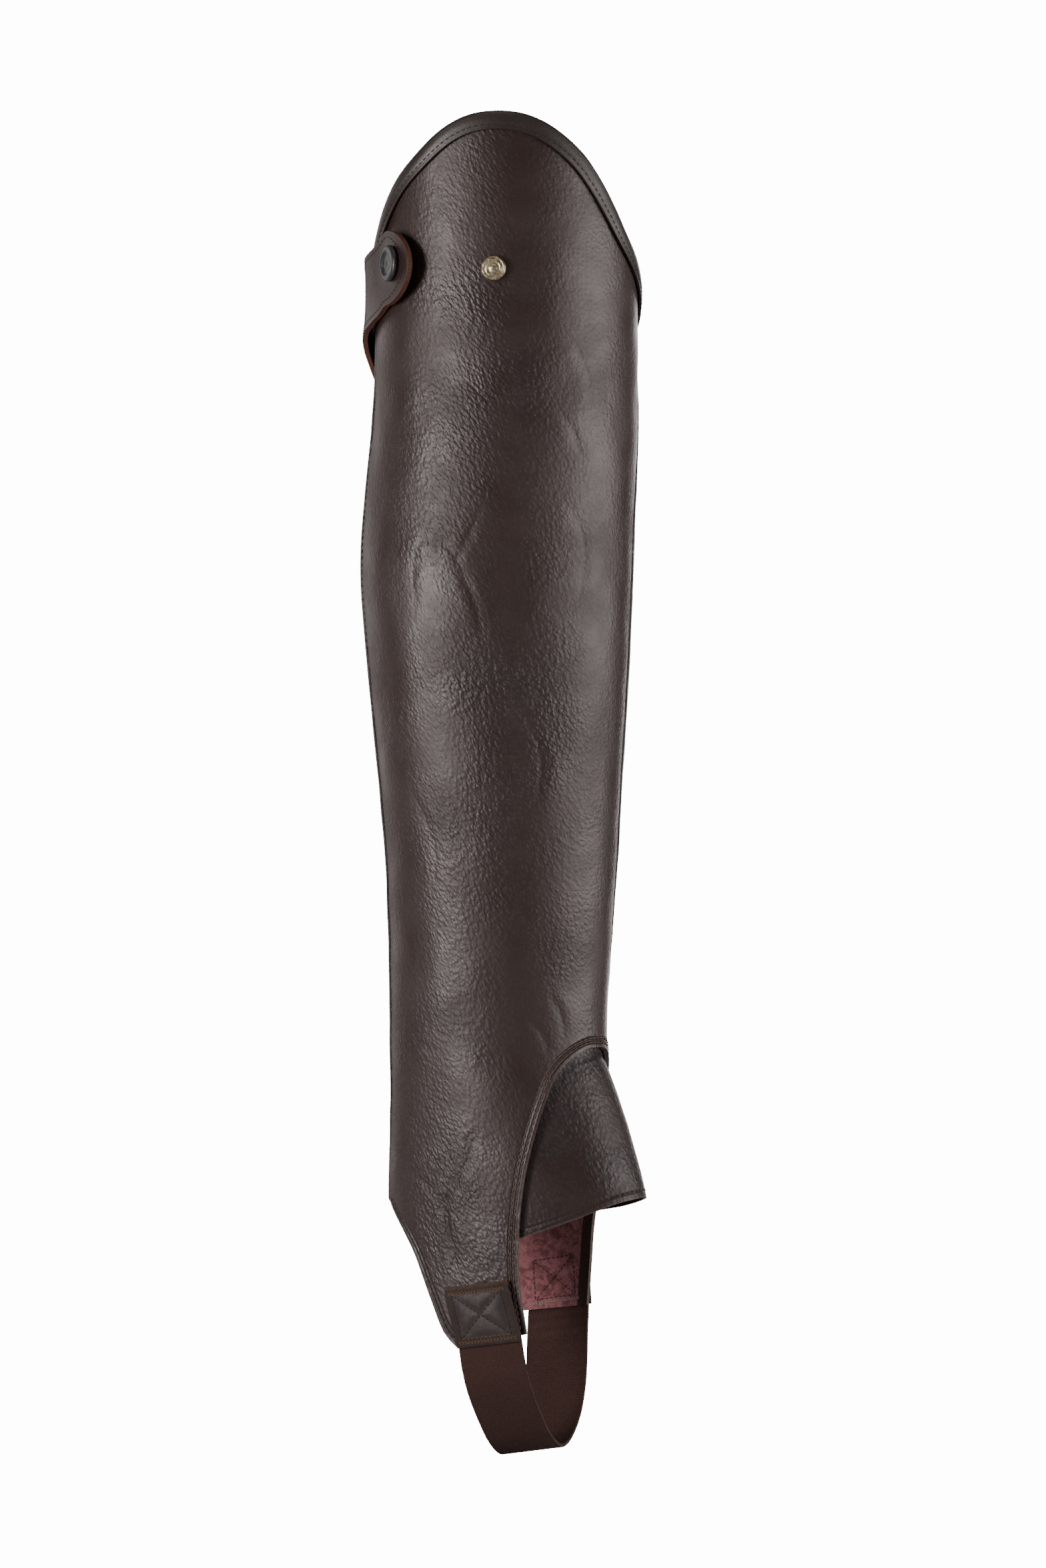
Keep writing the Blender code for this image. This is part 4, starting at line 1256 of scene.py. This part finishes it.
def buildZip():
    def tape(u, v):
        distance = (u - 0.5) * zipParts["tapeWidth"]
        low = zipParts["bottom"] + zipParts["tapeMargin"]
        height = low + (zipHigh(distance, zipParts["tapeMargin"]) - low) * v
        return offLeg(angleAt(distance, height), height, zipParts["inside"] + 0 * u)

    bm = bmesh.new()
    moveGrid(bm, 16, 90, tape)
    cloth = addPiece("zipTapeCloth", bm, [zipCloth], "zip_tape_cloth", zipParts["tapeWall"], 0.2, "zip_tape")
    bm = bmesh.new()
    top = float(zipHigh(np.array(0.0), zipParts["chainMargin"]))
    low = zipParts["bottom"] + zipParts["chainMargin"]
    teeth = np.arange(2 * int((top - low) / zipParts["toothPitch"]))
    heights = low + (top - low) * (teeth + 0.5) / len(teeth)
    shift = np.where(teeth % 2 == 0, -1.0, 1.0) * zipParts["toothShift"]
    out = zipParts["inside"] + zipParts["gap"] + zipParts["chainWall"] / 2
    scale = Matrix.Diagonal((*(Vector(zipParts["toothSize"]) * mm), 1))
    for spot, normal in zip(offLeg(angleAt(shift, heights), heights, out), legNormal(0 * heights, heights)):
        side = Vector((0, 1, 0))
        up = Vector(normal).cross(side).normalized()
        turn = Matrix((Vector(normal), side, up)).transposed().to_4x4()
        placeShape(bm, toothShape, Matrix.Translation(Vector(spot) * mm) @ turn @ scale)
    addPiece("zipTeeth", bm, [zipPlastic], "zip_chain_plastic", node="zip_chain")
    return cloth


zipPiece, zipArea = buildZip()
for name in ("snap_socket", "zip_slider", "zip_pull"):
    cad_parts[name].material_slots[0].material = darkSteel
print("zip made")
# A plain pale floor just under the strap, a pale surround, and soft studio light
studio = {
    "floor": (0.62, 0.62, 0.62), "lampColour": (1.0, 0.930, 0.910), "shownWhite": 14.0, "ambient": 0.16,
    "lamps": [
        # name, azimuth, height, distance, width, tall, power, aim height
        ("leftSoftbox", -29, -0.32, 1.6, 0.50, 1.55, 60, -0.06),
        ("rightSoftbox", 97, -0.24, 1.6, 1.80, 1.55, 56, -0.06),
        ("topSoftbox", 10, 1.7, 0.9, 1.0, 1.0, 6, 0.05),
        ("backSoftbox", 250, 0.15, 1.7, 0.7, 1.4, 5, -0.06),
        ("innerSoftbox", 188, 0.15, 1.7, 0.7, 1.4, 14, -0.06),
    ],
}


def showWhite(tree, plain, output):
    # white where it is seen directly, and the plain shader for the light that it gives back
    seen = tree.nodes.new("ShaderNodeLightPath")
    onFloor = output.bl_idname == "ShaderNodeOutputMaterial"
    glow = tree.nodes.new("ShaderNodeEmission" if onFloor else "ShaderNodeBackground")
    glow.inputs["Color"].default_value = (1.0, 1.0, 1.0, 1.0)
    glow.inputs["Strength"].default_value = studio["shownWhite"]
    mix = tree.nodes.new("ShaderNodeMixShader")
    tree.links.new(seen.outputs["Is Camera Ray"], mix.inputs[0])
    tree.links.new(plain.outputs[0], mix.inputs[1])
    tree.links.new(glow.outputs[0], mix.inputs[2])
    tree.links.new(mix.outputs[0], output.inputs["Surface"])


def buildStudio():
    bm = bmesh.new()
    bmesh.ops.create_circle(bm, cap_ends=True, segments=64, radius=40)
    bmesh.ops.translate(bm, verts=bm.verts, vec=(0, 0, cadBox[0][2] - 0.0005))
    mesh = bpy.data.meshes.new("studioFloor")
    bm.to_mesh(mesh)
    bm.free()
    finish = Finish("paleFloor", Base_Color=studio["floor"], Roughness=0.9, Specular_IOR_Level=0.0)
    showWhite(finish.tree, finish.shader, finish.tree.nodes["Material Output"])
    mesh.materials.append(finish.material)
    floor = bpy.data.objects.new("studioFloor", mesh)
    bpy.context.scene.collection.objects.link(floor)
    world = bpy.data.worlds.new("studioWorld")
    world.use_nodes = True
    back = world.node_tree.nodes["Background"]
    back.inputs["Color"].default_value = (1.0, 1.0, 1.0, 1.0)
    back.inputs["Strength"].default_value = studio["ambient"]
    showWhite(world.node_tree, back, world.node_tree.nodes["World Output"])
    bpy.context.scene.world = world
    for name, azimuth, height, distance, width, tall, power, aim in studio["lamps"]:
        data = bpy.data.lights.new(name, "AREA")
        data.shape = "RECTANGLE"
        data.size, data.size_y = width, tall
        data.energy = power
        data.color = studio["lampColour"]
        lamp = bpy.data.objects.new(name, data)
        turn = radians(azimuth)
        lamp.location = (sin(turn) * distance, -cos(turn) * distance, height)
        lamp.rotation_euler = (Vector((0, 0, aim)) - lamp.location).to_track_quat("-Z", "Y").to_euler()
        bpy.context.scene.collection.objects.link(lamp)


buildStudio()
print("studio made")
